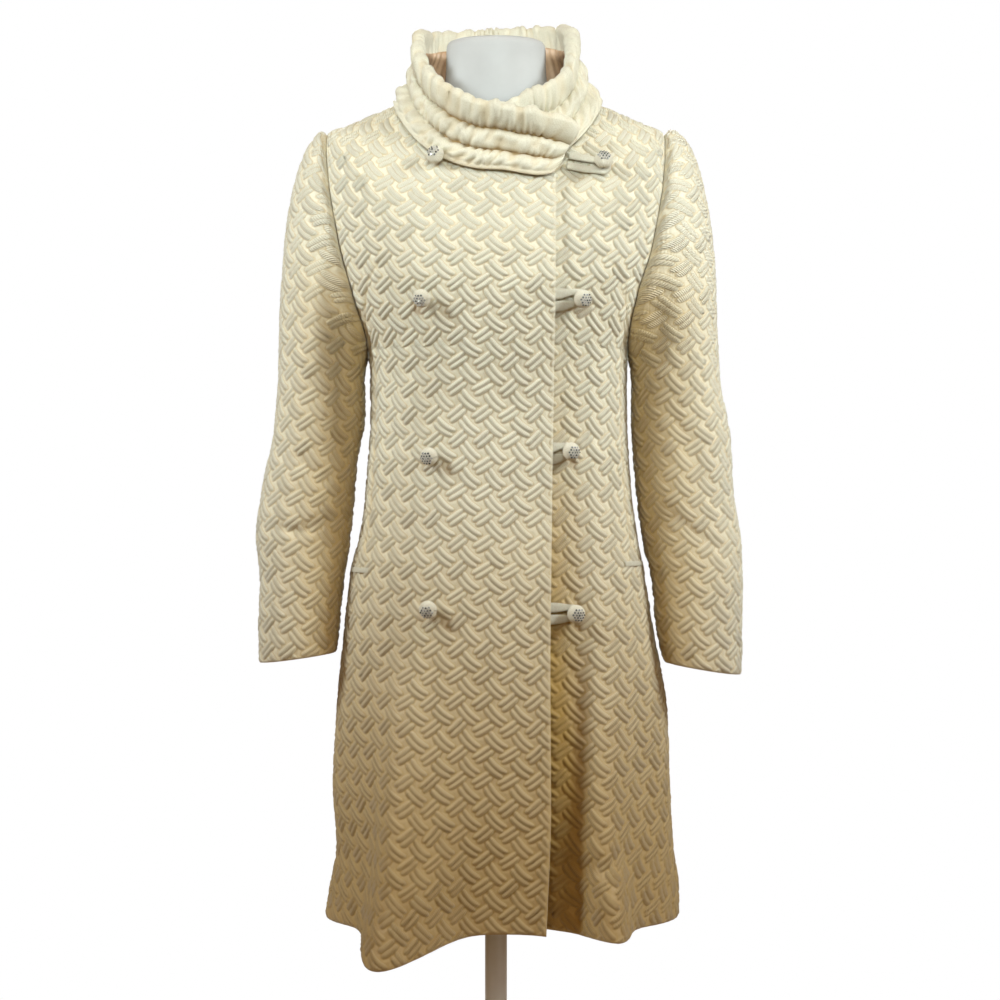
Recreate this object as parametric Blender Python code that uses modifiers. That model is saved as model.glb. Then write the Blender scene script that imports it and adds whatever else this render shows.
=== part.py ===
"""Double-breasted brocade coat with a rolled wrap collar, worn by a limbless dress form.

Metres, +Z up. The coat faces -Y and the form's base stands on z = 0, centred on the origin.
Right and left in the names are the wearer's, so the right side of the coat lies at -X.
Angles run round the body from the front (0) over the wearer's left side (90) to the back (180).
"""

import math

import bmesh
import bpy
import numpy as np
from mathutils import Matrix, Vector

CLOTH = 0.0028  # wall of the quilted brocade with its lining
SEAM_GAP = 0.0004  # space left between two pieces that are sewn together
SIDE_SEAM = 0.0016  # half of that space at the side and shoulder seams, as an angle

HEM_LEVEL = 0.475
ARMPIT_LEVEL = 1.093
SHOULDER_LEVEL = 1.20
NECK_LEVEL = 1.283
ROUNDNESS = 2 / 2.2  # power of a ring's sine and cosine: 1 is an ellipse, less is squarer

# One row for each ring round the body. A ring's level is its height at the centre front;
# from the armpit up the rings tilt, so that the topmost one is the neckline.
RING_COLUMNS = ("level", "side_z", "back_z", "half_right", "half_left", "front_y", "back_y")
RINGS = (
    (0.475, 0.475, 0.475, 0.188, 0.201, -0.128, 0.135),
    (0.510, 0.510, 0.510, 0.182, 0.200, -0.126, 0.133),
    (0.547, 0.547, 0.547, 0.176, 0.195, -0.124, 0.131),
    (0.620, 0.620, 0.620, 0.179, 0.191, -0.120, 0.127),
    (0.700, 0.700, 0.700, 0.175, 0.188, -0.116, 0.122),
    (0.785, 0.785, 0.785, 0.167, 0.173, -0.111, 0.118),
    (0.848, 0.848, 0.848, 0.160, 0.163, -0.108, 0.114),
    (0.904, 0.904, 0.904, 0.147, 0.153, -0.103, 0.108),
    (0.956, 0.956, 0.956, 0.142, 0.147, -0.100, 0.100),
    (1.020, 1.020, 1.020, 0.1375, 0.144, -0.100, 0.092),
    (1.065, 1.065, 1.065, 0.138, 0.1435, -0.105, 0.090),
    (1.093, 1.093, 1.093, 0.141, 0.145, -0.110, 0.093),
    (1.130, 1.160, 1.160, 0.171, 0.169, -0.115, 0.098),
    (1.158, 1.220, 1.208, 0.189, 0.189, -0.118, 0.101),
    (1.180, 1.275, 1.252, 0.195, 0.195, -0.116, 0.101),
    (1.200, 1.332, 1.300, 0.185, 0.184, -0.112, 0.097),
    (1.226, 1.342, 1.330, 0.163, 0.165, -0.105, 0.091),
    (1.254, 1.353, 1.354, 0.137, 0.142, -0.096, 0.083),
    (1.283, 1.367, 1.374, 0.107, 0.111, -0.085, 0.073),
)

# How a tilted ring drops from the side to the centre: the neckline dips sooner, in a fuller scoop.
RING_SCOOP, NECK_SCOOP = 2.0, 1.3

BUST_X, BUST_Z, BUST_SPREAD, BUST_FULLNESS = 0.085, 1.155, 0.060, 0.004

# The flared hem swings out in soft cones. Each grows from its start height down to the hem.
# Angle, spread of the cone, how far outward and down the hem goes, start height.
FLARES = (
    (-27, 13, 0.070, 0.029, 0.80),
    (-9, 8, -0.006, 0.000, 0.88),
    (27, 12, 0.054, 0.004, 0.78),
    (128, 15, 0.026, 0.006, 0.80),
    (154, 14, -0.014, 0.000, 0.85),
    (184, 17, 0.034, 0.008, 0.82),
    (-150, 14, -0.014, 0.000, 0.80),
    (-126, 15, 0.026, 0.004, 0.78),
)

# The right front laps over the left one. Its edge, and the depth of the left front below it.
LAP_COLUMNS = ("z", "edge_x", "depth")
LAP = (
    (0.470, 0.0490, 0.0450),
    (0.615, 0.0557, 0.0300),
    (0.782, 0.0581, 0.0165),
    (0.950, 0.0605, 0.0110),
    (1.056, 0.0622, 0.0092),
    (1.290, 0.0646, 0.0092),
)
LAP_OPENS_X, LAP_CLOSES_X = 0.072, 0.140  # the left front comes forward again between these
LAP_CLOSES_ANGLE = 45
NECK_DROP, NECK_DROP_FROM, NECK_DROP_REACH = 0.017, 1.15, 0.066

# The armhole is an oval between the armpit and the shoulder point.
ARMHOLE_FRONT, ARMHOLE_BACK, ARMHOLE_FULLNESS = 0.058, 0.062, 2.3

# Rings of the sleeves: the underarm point, the point over the arm, and the reach to the front
# and to the back of the ring's middle. The x are distances from the coat's middle plane.
SLEEVE_COLUMNS = ("under_x", "under_z", "over_x", "over_z", "front", "back", "middle_y")
SLEEVE_RIGHT = (
    (0.1420, 1.0930, 0.1855, 1.3310, 0.058, 0.062, 0.000),
    (0.1435, 1.0850, 0.1935, 1.3345, 0.062, 0.065, 0.000),
    (0.1445, 1.0780, 0.2035, 1.3240, 0.064, 0.066, 0.000),
    (0.1450, 1.0710, 0.2130, 1.3060, 0.064, 0.066, 0.001),
    (0.1450, 1.0640, 0.2210, 1.2820, 0.063, 0.065, 0.002),
    (0.1450, 1.0570, 0.2275, 1.2520, 0.062, 0.063, 0.003),
    (0.1448, 1.0490, 0.2325, 1.2160, 0.061, 0.061, 0.004),
    (0.1445, 1.0390, 0.2360, 1.1750, 0.060, 0.059, 0.005),
    (0.1443, 1.0270, 0.2388, 1.1250, 0.058, 0.057, 0.006),
    (0.1455, 1.0110, 0.2400, 1.0680, 0.056, 0.055, 0.007),
    (0.1520, 0.9780, 0.2450, 1.0060, 0.054, 0.053, 0.007),
    (0.1560, 0.9350, 0.2580, 0.9420, 0.053, 0.052, 0.005),
    (0.1600, 0.8900, 0.2640, 0.8900, 0.051, 0.050, 0.000),
    (0.1665, 0.8420, 0.2590, 0.8430, 0.049, 0.047, -0.007),
    (0.1705, 0.8000, 0.2595, 0.7960, 0.046, 0.045, -0.014),
    (0.1738, 0.7640, 0.2590, 0.7530, 0.043, 0.043, -0.020),
)
SLEEVE_LEFT = (
    (0.1460, 1.0930, 0.1845, 1.3310, 0.058, 0.062, 0.000),
    (0.1480, 1.0850, 0.1945, 1.3365, 0.062, 0.065, 0.000),
    (0.1490, 1.0780, 0.2055, 1.3300, 0.064, 0.066, 0.000),
    (0.1495, 1.0710, 0.2150, 1.3160, 0.064, 0.066, 0.001),
    (0.1495, 1.0640, 0.2235, 1.2950, 0.063, 0.065, 0.002),
    (0.1495, 1.0570, 0.2310, 1.2640, 0.062, 0.063, 0.003),
    (0.1495, 1.0490, 0.2375, 1.2260, 0.061, 0.061, 0.004),
    (0.1492, 1.0390, 0.2415, 1.1820, 0.060, 0.059, 0.005),
    (0.1490, 1.0270, 0.2435, 1.1300, 0.058, 0.057, 0.006),
    (0.1495, 1.0080, 0.2470, 1.0640, 0.056, 0.055, 0.007),
    (0.1520, 0.9700, 0.2580, 1.0000, 0.054, 0.053, 0.007),
    (0.1560, 0.9250, 0.2620, 0.9370, 0.053, 0.052, 0.005),
    (0.1625, 0.8800, 0.2695, 0.8830, 0.051, 0.050, 0.000),
    (0.1715, 0.8370, 0.2706, 0.8330, 0.049, 0.047, -0.007),
    (0.1750, 0.7930, 0.2690, 0.7850, 0.046, 0.045, -0.014),
    (0.1830, 0.7530, 0.2680, 0.7400, 0.043, 0.043, -0.020),
)
SLEEVE_BLEND_RINGS = 5  # rings over which the sleeve leaves the armhole's own outline

# The collar is one ruched band, sewn to the neckline and wound round the neck by more than a
# turn. Its turn is the neckline's angle, and the columns place the middle of its rim roll and
# say how full its rolls are: they lie pressed where the right front covers them.
COLLAR_COLUMNS = ("turn", "rim_x", "rim_y", "rim_z", "puff")
COLLAR = (
    (-28, -0.040, -0.052, 1.3320, 0.40),
    (-10, -0.012, -0.060, 1.3440, 0.55),
    (10, 0.018, -0.060, 1.3540, 0.85),
    (32, 0.046, -0.056, 1.3680, 1.00),
    (46, 0.065, -0.050, 1.3780, 1.00),
    (60, 0.078, -0.038, 1.3940, 1.00),
    (75, 0.0820, -0.022, 1.4180, 1.00),
    (92, 0.0815, -0.002, 1.4410, 1.00),
    (120, 0.070, 0.044, 1.4520, 1.00),
    (150, 0.038, 0.066, 1.4560, 1.00),
    (180, -0.003, 0.074, 1.4540, 1.00),
    (210, -0.043, 0.066, 1.4510, 1.00),
    (240, -0.074, 0.044, 1.4460, 1.00),
    (268, -0.0855, -0.002, 1.4385, 1.00),
    (285, -0.0840, -0.024, 1.4170, 1.00),
    (302, -0.0740, -0.046, 1.3910, 1.00),
    (322, -0.054, -0.072, 1.3700, 1.00),
    (342, -0.025, -0.0865, 1.3520, 1.00),
    (360, 0.002, -0.0905, 1.3455, 1.00),
    (378, 0.040, -0.0890, 1.3390, 1.00),
    (394, 0.090, -0.070, 1.3290, 1.00),
)
ROLL_CREASES = (0.0, 0.30, 0.66, 1.0)  # where the rolls meet, as shares of the band's height
ROLL_HEIGHT, CREASE_HEIGHT, RIM_RADIUS = 0.0082, 0.0036, 0.0085
COLLAR_BASE, COLLAR_INSIDE, COLLAR_BOW, COLLAR_CLEARANCE = 0.0010, 0.0030, 0.0070, 0.0018
OUTSIDE_SHARES = (0, 0.05, 0.12, 0.20, 0.30, 0.40, 0.50, 0.60, 0.66, 0.74, 0.84)
INSIDE_SHARES = (0.66, 0.50, 0.36, 0.24, 0.12)
LINING, LINING_FROM, LINING_TO = 0.0012, 40, 318

# Buttons: the middle of the ball, and the degrees it leans to the wearer's left and down.
# Front it is sewn to, x, z, lean to the side, lean downwards.
BUTTONS = (
    ("right", -0.0644, 1.2973, -11, 12),
    ("right", -0.0777, 1.1420, -10, 10),
    ("right", -0.0705, 0.9763, -7, 13),
    ("right", -0.0714, 0.8144, -2, 13),
    ("left", 0.1148, 1.2923, 7, 3),
    ("left", 0.0914, 1.1422, 10, 2),
    ("left", 0.0800, 0.9816, 6, 4),
    ("left", 0.0851, 0.8092, 7, 4),
)
BALL_RADIUS, BALL_DEPTH, SHANK_RADIUS = 0.0097, 0.0135, 0.0020
SHANK_ON_CLOTH, SHANK_IN_LOOP = 0.0030, 0.0068

# Loops: where each comes out, and how far apart its two strands lie there.
# Button it holds, x, z, spacing of the strands, width of a strand.
LOOPS = (
    (4, 0.0772, 1.2930, 0.0062, 0.0085),
    (5, 0.0540, 1.1400, 0.0068, 0.0112),
    (6, 0.0520, 0.9780, 0.0066, 0.0106),
    (7, 0.0500, 0.8090, 0.0066, 0.0106),
)
LOOP_THICKNESS, LOOP_TURN, LOOP_TURN_WIDTH = 0.0042, 0.0058, 0.0060

POCKET_LEVELS, POCKET_FROM, POCKET_TO = {"right": 0.857, "left": 0.864}, 57, 86
POCKET_HEIGHT, POCKET_STANDS_OFF = 0.007, 0.0022

# Rings of the dress form: half width, and how far it reaches to the front and the back.
FORM_COLUMNS = ("z", "half", "front_y", "back_y")
FORM = (
    (0.790, 0.096, -0.052, 0.058),
    (0.800, 0.112, -0.062, 0.070),
    (0.840, 0.124, -0.070, 0.080),
    (0.920, 0.120, -0.070, 0.078),
    (1.000, 0.106, -0.066, 0.068),
    (1.080, 0.116, -0.076, 0.072),
    (1.160, 0.132, -0.088, 0.080),
    (1.220, 0.140, -0.082, 0.082),
    (1.265, 0.144, -0.066, 0.076),
    (1.300, 0.138, -0.050, 0.062),
    (1.325, 0.112, -0.038, 0.050),
    (1.345, 0.078, -0.036, 0.046),
    (1.368, 0.061, -0.040, 0.048),
    (1.400, 0.0552, -0.042, 0.049),
    (1.426, 0.0545, -0.042, 0.049),
    (1.4325, 0.0520, -0.040, 0.047),
    (1.435, 0.0465, -0.035, 0.042),
)
POLE_RADIUS, BASE_RADIUS, BASE_HEIGHT, BASE_EDGE = 0.012, 0.175, 0.012, 0.004

IVORY = (0.78, 0.73, 0.57)
BAND_IVORY = (0.80, 0.75, 0.60)
PEACH = (0.66, 0.47, 0.31)
WHITE = (0.82, 0.82, 0.81)


def column(table, names, name):
    """One named column of a table as an array."""
    return np.array([row[names.index(name)] for row in table], float)


def eased(places, values, at):
    """A smooth line through the values that never swings past them, read at the places in at."""
    step = np.diff(places)
    rise = np.diff(values) / step
    slope = np.zeros(len(values))
    slope[0], slope[-1] = rise[0], rise[-1]
    same_way = rise[1:] * rise[:-1] > 0
    both = np.where(same_way, rise[1:] + rise[:-1], 1.0)
    slope[1:-1] = np.where(same_way, 2 * rise[1:] * rise[:-1] / both, 0.0)
    at = np.clip(at, places[0], places[-1])
    i = np.clip(np.searchsorted(places, at) - 1, 0, len(step) - 1)
    t = (at - places[i]) / step[i]
    start, end = values[i], values[i + 1]
    pull_in, pull_out = slope[i] * step[i], slope[i + 1] * step[i]
    cubic = t * t * (3 - 2 * t)
    return start + (end - start) * cubic + t * (1 - t) * ((1 - t) * pull_in - t * pull_out)


def swell(t):
    """0 below 0, 1 above 1, and a soft rise between."""
    t = np.clip(t, 0, 1)
    return t * t * (3 - 2 * t)


def ring(name, level):
    return eased(column(RINGS, RING_COLUMNS, "level"), column(RINGS, RING_COLUMNS, name), level)


def lap(name, z):
    return eased(column(LAP, LAP_COLUMNS, "z"), column(LAP, LAP_COLUMNS, name), z)


def body(level, angle):
    """Points of the coat's outer surface, on the rings at level and at the angles round them."""
    level, angle = np.broadcast_arrays(np.asarray(level, float), np.asarray(angle, float))
    sine, cosine = np.sin(angle), np.cos(angle)
    half = np.where(sine < 0, ring("half_right", level), ring("half_left", level))
    deep = np.where(cosine > 0, ring("front_y", level), ring("back_y", level))
    tip = np.where(cosine > 0, level, ring("back_z", level))
    x = np.sign(sine) * np.abs(sine) ** ROUNDNESS * half
    y = np.abs(cosine) ** ROUNDNESS * deep
    toward_neck = swell((level - SHOULDER_LEVEL) / (NECK_LEVEL - SHOULDER_LEVEL))
    scoop = np.where(cosine > 0, RING_SCOOP + (NECK_SCOOP - RING_SCOOP) * toward_neck, RING_SCOOP)
    z = ring("side_z", level) + (tip - ring("side_z", level)) * np.abs(cosine) ** scoop
    apart = ((np.abs(x) - BUST_X) ** 2 + (z - BUST_Z) ** 2) / BUST_SPREAD**2
    y = y - np.where(cosine > 0, BUST_FULLNESS * np.exp(-apart) * cosine**2, 0)
    for flare_angle, spread, outward, drop, start_z in FLARES:
        off = (np.degrees(angle) - flare_angle + 180) % 360 - 180
        grown = np.clip((start_z - z) / (start_z - HEM_LEVEL), 0, 1.2) ** 1.6
        share = grown * np.exp(-((off / spread) ** 2))
        x = x + outward * share * sine
        y = y - outward * share * cosine
        z = z - drop * share
    return np.stack([x, y, z], axis=-1)


def front(side, level, angle):
    """Points of the right or the left front: body, with its lap over or under the other front."""
    level, angle = np.broadcast_arrays(np.asarray(level, float), np.asarray(angle, float))
    sign, far_half = (1, "half_left") if side == "right" else (-1, "half_right")
    sine = np.sin(angle) * sign
    past_middle = np.clip(sine, 0, 1) ** ROUNDNESS * ring(far_half, level)
    height = np.clip((level - NECK_DROP_FROM) / (NECK_LEVEL - NECK_DROP_FROM), 0, 1)
    lower = level - NECK_DROP * height**2 * swell(past_middle / NECK_DROP_REACH)
    kept = np.arcsin(np.clip(past_middle / ring(far_half, lower), 0, 1) ** (1 / ROUNDNESS))
    points = body(lower, np.where((sine > 0) & (lower < level), sign * kept, angle))
    if side == "left":
        x, z = points[..., 0], points[..., 2]
        closing = 1 - swell((x - LAP_OPENS_X) / (LAP_CLOSES_X - LAP_OPENS_X))
        turned_back = (np.degrees(angle) - LAP_CLOSES_ANGLE) / (90 - LAP_CLOSES_ANGLE)
        closing = closing * (1 - swell(turned_back))
        points[..., 1] += lap("depth", z) * closing
    return points


def armhole_angle(level, part):
    """The angle at which a ring meets the armhole, on the part in front of it or behind it."""
    low, high = ring("side_z", ARMPIT_LEVEL), ring("side_z", SHOULDER_LEVEL)
    share = np.clip((ring("side_z", level) - low) / (high - low), 0, 1)
    share = np.where(np.asarray(level) > SHOULDER_LEVEL, 1, share)
    open_by = np.sqrt(np.clip(1 - np.abs(2 * share - 1) ** ARMHOLE_FULLNESS, 0, 1))
    if part == "front":
        reach = open_by * ARMHOLE_FRONT / -ring("front_y", level)
        return np.arccos(reach ** (1 / ROUNDNESS))
    reach = open_by * ARMHOLE_BACK / ring("back_y", level)
    return math.pi - np.arccos(reach ** (1 / ROUNDNESS))


def edge_angle(level, side):
    """The angle of a front's own edge, past the middle of the coat."""
    half = ring("half_left" if side == "right" else "half_right", level)
    angle = np.arcsin((lap("edge_x", level) / half) ** (1 / ROUNDNESS))
    return angle if side == "right" else -angle


def even_angles(surface, level, first, last, count):
    """Angles from first to last round a ring that lie the same length of cloth apart."""
    angles = np.linspace(first, last, 40 * count)
    points = surface(level, angles)
    along = np.concatenate([[0], np.cumsum(np.linalg.norm(np.diff(points, axis=0), axis=1))])
    return np.interp(np.linspace(0, along[-1], count), along, angles)


def walled_row(surface, level, angles):
    """A row of the cloth's outer skin and the row of its inner skin below it."""
    lower, upper = max(level - 0.002, HEM_LEVEL), min(level + 0.002, NECK_LEVEL)
    round_body = surface(level, angles + 0.01) - surface(level, angles - 0.01)
    up_cloth = surface(upper, angles) - surface(lower, angles)
    inward = np.cross(up_cloth, round_body)
    inward /= np.linalg.norm(inward, axis=1, keepdims=True)
    outer = surface(level, angles)
    return outer, outer + inward * CLOTH


def coat_levels():
    """Ring levels from hem to neck, closer together where the armhole turns."""
    turned = (1 - np.cos(np.linspace(0, math.pi, 9))) / 2
    low, high = ring("side_z", ARMPIT_LEVEL), ring("side_z", SHOULDER_LEVEL)
    fine = np.linspace(ARMPIT_LEVEL, SHOULDER_LEVEL, 200)
    armhole = np.interp(low + (high - low) * turned, ring("side_z", fine), fine)
    skirt = np.linspace(HEM_LEVEL, ARMPIT_LEVEL, 15)[:-1]
    shoulder = np.linspace(SHOULDER_LEVEL, NECK_LEVEL, 5)[1:]
    return np.concatenate([skirt, armhole, shoulder])


def front_rows(side, count):
    """Walled rows of a front, from its own edge to the side seam and the armhole."""
    sign = -1 if side == "right" else 1

    def surface(level, angle):
        return front(side, level, angle)

    rows = []
    for level in coat_levels():
        last = sign * (armhole_angle(level, "front") - SIDE_SEAM)
        angles = even_angles(surface, level, edge_angle(level, side), last, count)
        rows.append(walled_row(surface, level, angles))
    return rows


def back_rows(count):
    """Walled rows of the back, from one side seam and armhole to the other."""
    rows = []
    for level in coat_levels():
        first = armhole_angle(level, "back") + SIDE_SEAM
        angles = even_angles(body, level, first, 2 * math.pi - first, count)
        rows.append(walled_row(body, level, angles))
    return rows


def armhole_outline(sign, turned):
    """Points round an armhole, from the armpit up the front and down the back."""
    low, high = ring("side_z", ARMPIT_LEVEL), ring("side_z", SHOULDER_LEVEL)
    fine = np.linspace(ARMPIT_LEVEL, SHOULDER_LEVEL, 400)
    wanted = low + (high - low) * (1 - np.cos(turned)) / 2
    level = np.interp(wanted, ring("side_z", fine), fine)
    in_front = np.sin(turned) >= 0
    angle = np.where(in_front, armhole_angle(level, "front"), armhole_angle(level, "back"))
    return body(level, sign * angle)


def sleeve_rows(table, sign, rings, count):
    """Rings of a sleeve, from the armhole to the cuff."""
    turned = np.linspace(0, 2 * math.pi, count + 1)[:-1]
    places = np.arange(len(table), dtype=float)

    def table_ring(at):
        value = {}
        for name in SLEEVE_COLUMNS:
            value[name] = eased(places, column(table, SLEEVE_COLUMNS, name), at)
        share = (1 - np.cos(turned)) / 2
        x = sign * (value["under_x"] + (value["over_x"] - value["under_x"]) * share)
        z = value["under_z"] + (value["over_z"] - value["under_z"]) * share
        reach = np.where(np.sin(turned) > 0, -value["front"], value["back"])
        y = value["middle_y"] + reach * np.abs(np.sin(turned))
        return np.stack([x, y, z], axis=-1)

    start = armhole_outline(sign, turned)
    start[:, 0] += sign * SEAM_GAP * 2
    shift = start - table_ring(0.0)
    rows = []
    for at in np.linspace(0, len(table) - 1, rings):
        rows.append(table_ring(at) + shift * (1 - swell(at / SLEEVE_BLEND_RINGS)))
    return rows


def collar(name, turn):
    turns = column(COLLAR, COLLAR_COLUMNS, "turn")
    return eased(turns, column(COLLAR, COLLAR_COLUMNS, name), turn)


def neckline(turn):
    """The middle of the cloth's upper edge round the neck, over more than a full turn."""
    angle = math.radians(turn)
    if turn < 90:
        edge = front("left", NECK_LEVEL, angle)
    elif turn > 270:
        edge = front("right", NECK_LEVEL, angle - 2 * math.pi)
    else:
        edge = body(NECK_LEVEL, angle)
    inward = -np.array([math.sin(angle), -math.cos(angle), 0])
    return edge + inward * CLOTH / 2 + np.array([0, 0, COLLAR_CLEARANCE])


def collar_frame(turn):
    """Base and rim of the band at a turn, with its directions out from the neck and upwards."""
    def ends(at):
        rim = np.array([collar(name, at) for name in ("rim_x", "rim_y", "rim_z")])
        return neckline(at), rim

    base, rim = ends(turn)
    before, after = ends(max(turn - 4, COLLAR[0][0])), ends(min(turn + 4, COLLAR[-1][0]))
    along = (after[0] + after[1]) - (before[0] + before[1])
    upward = (rim - base) / np.linalg.norm(rim - base)
    outward = np.cross(along, upward)
    return base, rim, outward / np.linalg.norm(outward), upward


def roll_height(share):
    """How far the rolls stand out of the band at a share of its height."""
    for low, high in zip(ROLL_CREASES[:-1], ROLL_CREASES[1:]):
        if low <= share <= high:
            runs_into_rim = high == 1.0 and share > (low + high) / 2
            top = 1.0 if runs_into_rim else math.sin(math.pi * (share - low) / (high - low))
            height = CREASE_HEIGHT + (ROLL_HEIGHT - CREASE_HEIGHT) * math.sqrt(max(top, 0))
    return height if share > 0.05 else COLLAR_BASE + (height - COLLAR_BASE) * share / 0.05


def collar_section(turn, shrink):
    """The band's outline at a turn: out of the base, over the rim and down inside."""
    base, rim, outward, upward = collar_frame(turn)
    puff = collar("puff", turn)

    def at(share, offset):
        return base + (rim - base) * share + outward * (offset - COLLAR_BOW * math.sin(math.pi * share))

    outline = [at(share, puff * roll_height(share)) for share in OUTSIDE_SHARES]
    for degrees in (0, 36, 72, 108, 144, 180):
        reach = RIM_RADIUS * (puff if degrees < 90 else 0.8)
        over = math.radians(degrees)
        outline.append(rim + outward * reach * math.cos(over) + upward * RIM_RADIUS * math.sin(over))
    outline.append(at(0.80, -COLLAR_INSIDE - 0.0030))
    outline += [at(share, -COLLAR_INSIDE) for share in INSIDE_SHARES]
    outline.append(at(0, -COLLAR_BASE))
    middle = sum(outline) / len(outline)
    return [middle + (point - middle) * shrink for point in outline]


def collar_turns():
    """The turns of the band's sections between its rounded ends."""
    return np.linspace(COLLAR[0][0] + 5, COLLAR[-1][0] - 5, 38)


def collar_rows():
    first, last = COLLAR[0][0], COLLAR[-1][0]
    turns = [first, first + 1.5, *collar_turns(), last - 1.5, last]
    shrinks = [0.62, 0.88] + [1] * len(collar_turns()) + [0.95, 0.78]
    return [collar_section(turn, shrink) for turn, shrink in zip(turns, shrinks)]


def lining_rows():
    """The skin of the band's lining, seen inside the back of the neck and facing it."""
    rows = []
    for turn in collar_turns():
        if LINING_FROM < turn < LINING_TO:
            base, rim, outward, _ = collar_frame(turn)
            row = []
            for share in INSIDE_SHARES[::-1]:
                offset = COLLAR_INSIDE + COLLAR_BOW * math.sin(math.pi * share)
                offset += LINING + SEAM_GAP * 2
                row.append(base + (rim - base) * share - outward * offset)
            rows.append(row)
    return rows


def on_front(side, x, z):
    """The point of a front at x and z, with its directions sideways, up the cloth and out of it."""
    level = z
    for _ in range(40):
        half = ring("half_right" if x < 0 else "half_left", level)
        angle = math.copysign(math.asin(min(abs(x) / half, 1) ** (1 / ROUNDNESS)), x)
        level = min(level + 0.7 * (z - float(front(side, level, angle)[2])), NECK_LEVEL)
    here = front(side, level, angle)
    sideways = Vector(front(side, level, angle + 0.02) - here).normalized()
    upward = Vector(front(side, level + 0.003, angle) - here).normalized()
    return Vector(here), sideways, upward, sideways.cross(upward).normalized()


def material(name, colour, roughness):
    made = bpy.data.materials.new(name)
    made.use_nodes = True
    shader = made.node_tree.nodes["Principled BSDF"]
    shader.inputs["Base Color"].default_value = (*colour, 1)
    shader.inputs["Roughness"].default_value = roughness
    return made


def add_object(name, mesh, finish, collection):
    mesh.materials.append(material(name, *finish))
    made = bpy.data.objects.new(name, mesh)
    collection.objects.link(made)
    return made


def loft(name, rows, finish, collection, round_rows=False, capped=False):
    """A skin over rows of points, each row an open line or a closed ring."""
    mesh = bpy.data.meshes.new(name)
    built = bmesh.new()
    lines = [[built.verts.new(point) for point in row] for row in rows]
    for low, high in zip(lines[:-1], lines[1:]):
        steps = range(len(low)) if round_rows else range(len(low) - 1)
        for i in steps:
            j = (i + 1) % len(low)
            built.faces.new((low[i], low[j], high[j], high[i]))
    if capped:
        built.faces.new(lines[0][::-1])
        built.faces.new(lines[-1])
        bmesh.ops.recalc_face_normals(built, faces=built.faces)
    built.to_mesh(mesh)
    built.free()
    mesh.shade_smooth()
    return add_object(name, mesh, finish, collection)


def cloth(name, rows, finish, collection, thickness=CLOTH, round_rows=False):
    """A skin given a wall on its inner side."""
    made = loft(name, rows, finish, collection, round_rows)
    wall = made.modifiers.new("wall", "SOLIDIFY")
    wall.thickness = thickness
    wall.offset = -1
    wall.use_even_offset = True
    return made


def panel(name, rows, finish, collection):
    """A flat-cut piece of cloth from walled rows: outer skin, inner skin and the edges between."""
    rings = [np.concatenate([outer, inner[::-1]]) for outer, inner in rows]
    mesh = bpy.data.meshes.new(name)
    built = bmesh.new()
    lines = [[built.verts.new(point) for point in ring_points] for ring_points in rings]
    count = len(lines[0])
    for low, high in zip(lines[:-1], lines[1:]):
        for i in range(count):
            built.faces.new((low[i], low[(i + 1) % count], high[(i + 1) % count], high[i]))
    for end in (lines[0], lines[-1]):
        for i in range(count // 2 - 1):
            built.faces.new((end[i], end[i + 1], end[count - 2 - i], end[count - 1 - i]))
    bmesh.ops.recalc_face_normals(built, faces=built.faces)
    built.to_mesh(mesh)
    built.free()
    mesh.shade_smooth()
    return add_object(name, mesh, finish, collection)


def turned(name, profile, finish, collection, steps=16):
    """A solid turned round its own +Z from a profile of (radius, height), top to bottom."""
    mesh = bpy.data.meshes.new(name)
    points = [(radius, 0, height) for radius, height in profile]
    mesh.from_pydata(points, [(i, i + 1) for i in range(len(profile) - 1)], [])
    made = add_object(name, mesh, finish, collection)
    spin = made.modifiers.new("turn", "SCREW")
    spin.steps = spin.render_steps = steps
    spin.use_merge_vertices = True
    spin.merge_threshold = 0.00001
    spin.use_smooth_shade = True
    return made


def make_coat(collection):
    brocade = (IVORY, 0.55)
    panel("front_right", front_rows("right", 17), brocade, collection)
    panel("front_left", front_rows("left", 14), brocade, collection)
    panel("back", back_rows(19), brocade, collection)
    cloth("sleeve_right", sleeve_rows(SLEEVE_RIGHT, -1, 17, 16), brocade, collection, round_rows=True)
    cloth("sleeve_left", sleeve_rows(SLEEVE_LEFT, 1, 17, 16)[::-1], brocade, collection, round_rows=True)


def make_collar(collection):
    loft("collar", collar_rows(), (BAND_IVORY, 0.6), collection, round_rows=True, capped=True)
    cloth("collar_lining", lining_rows(), (PEACH, 0.45), collection, thickness=LINING)


def make_pockets(collection):
    """The finished edge of each pocket's mouth, from the dart's seam to the side seam."""
    for side, sign in (("right", -1), ("left", 1)):
        rows = []
        for rise in (-POCKET_HEIGHT, -POCKET_HEIGHT / 2, 0):
            row = []
            for degrees in np.linspace(POCKET_FROM, POCKET_TO, 9):
                angle = sign * math.radians(degrees)
                here = front(side, POCKET_LEVELS[side] + rise, angle)
                out = np.array([math.sin(angle), -math.cos(angle), 0])
                row.append(here + out * (POCKET_STANDS_OFF + SEAM_GAP))
            rows.append(row if side == "left" else row[::-1])
        cloth("pocket_edge_" + side, rows, (IVORY, 0.55), collection, thickness=POCKET_STANDS_OFF)


def button_profile(shank):
    """A cloth-covered ball, flatter than a sphere, on a thread shank."""
    profile = [(0, shank + BALL_DEPTH)]
    for degrees in (24, 46, 68, 90, 114, 140):
        over = math.radians(degrees)
        lift = shank + BALL_DEPTH / 2 + BALL_DEPTH / 2 * math.cos(over)
        profile.append((BALL_RADIUS * math.sin(over) ** 0.9, lift))
    return profile + [(SHANK_RADIUS, shank), (SHANK_RADIUS, 0), (0, 0)]


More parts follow.
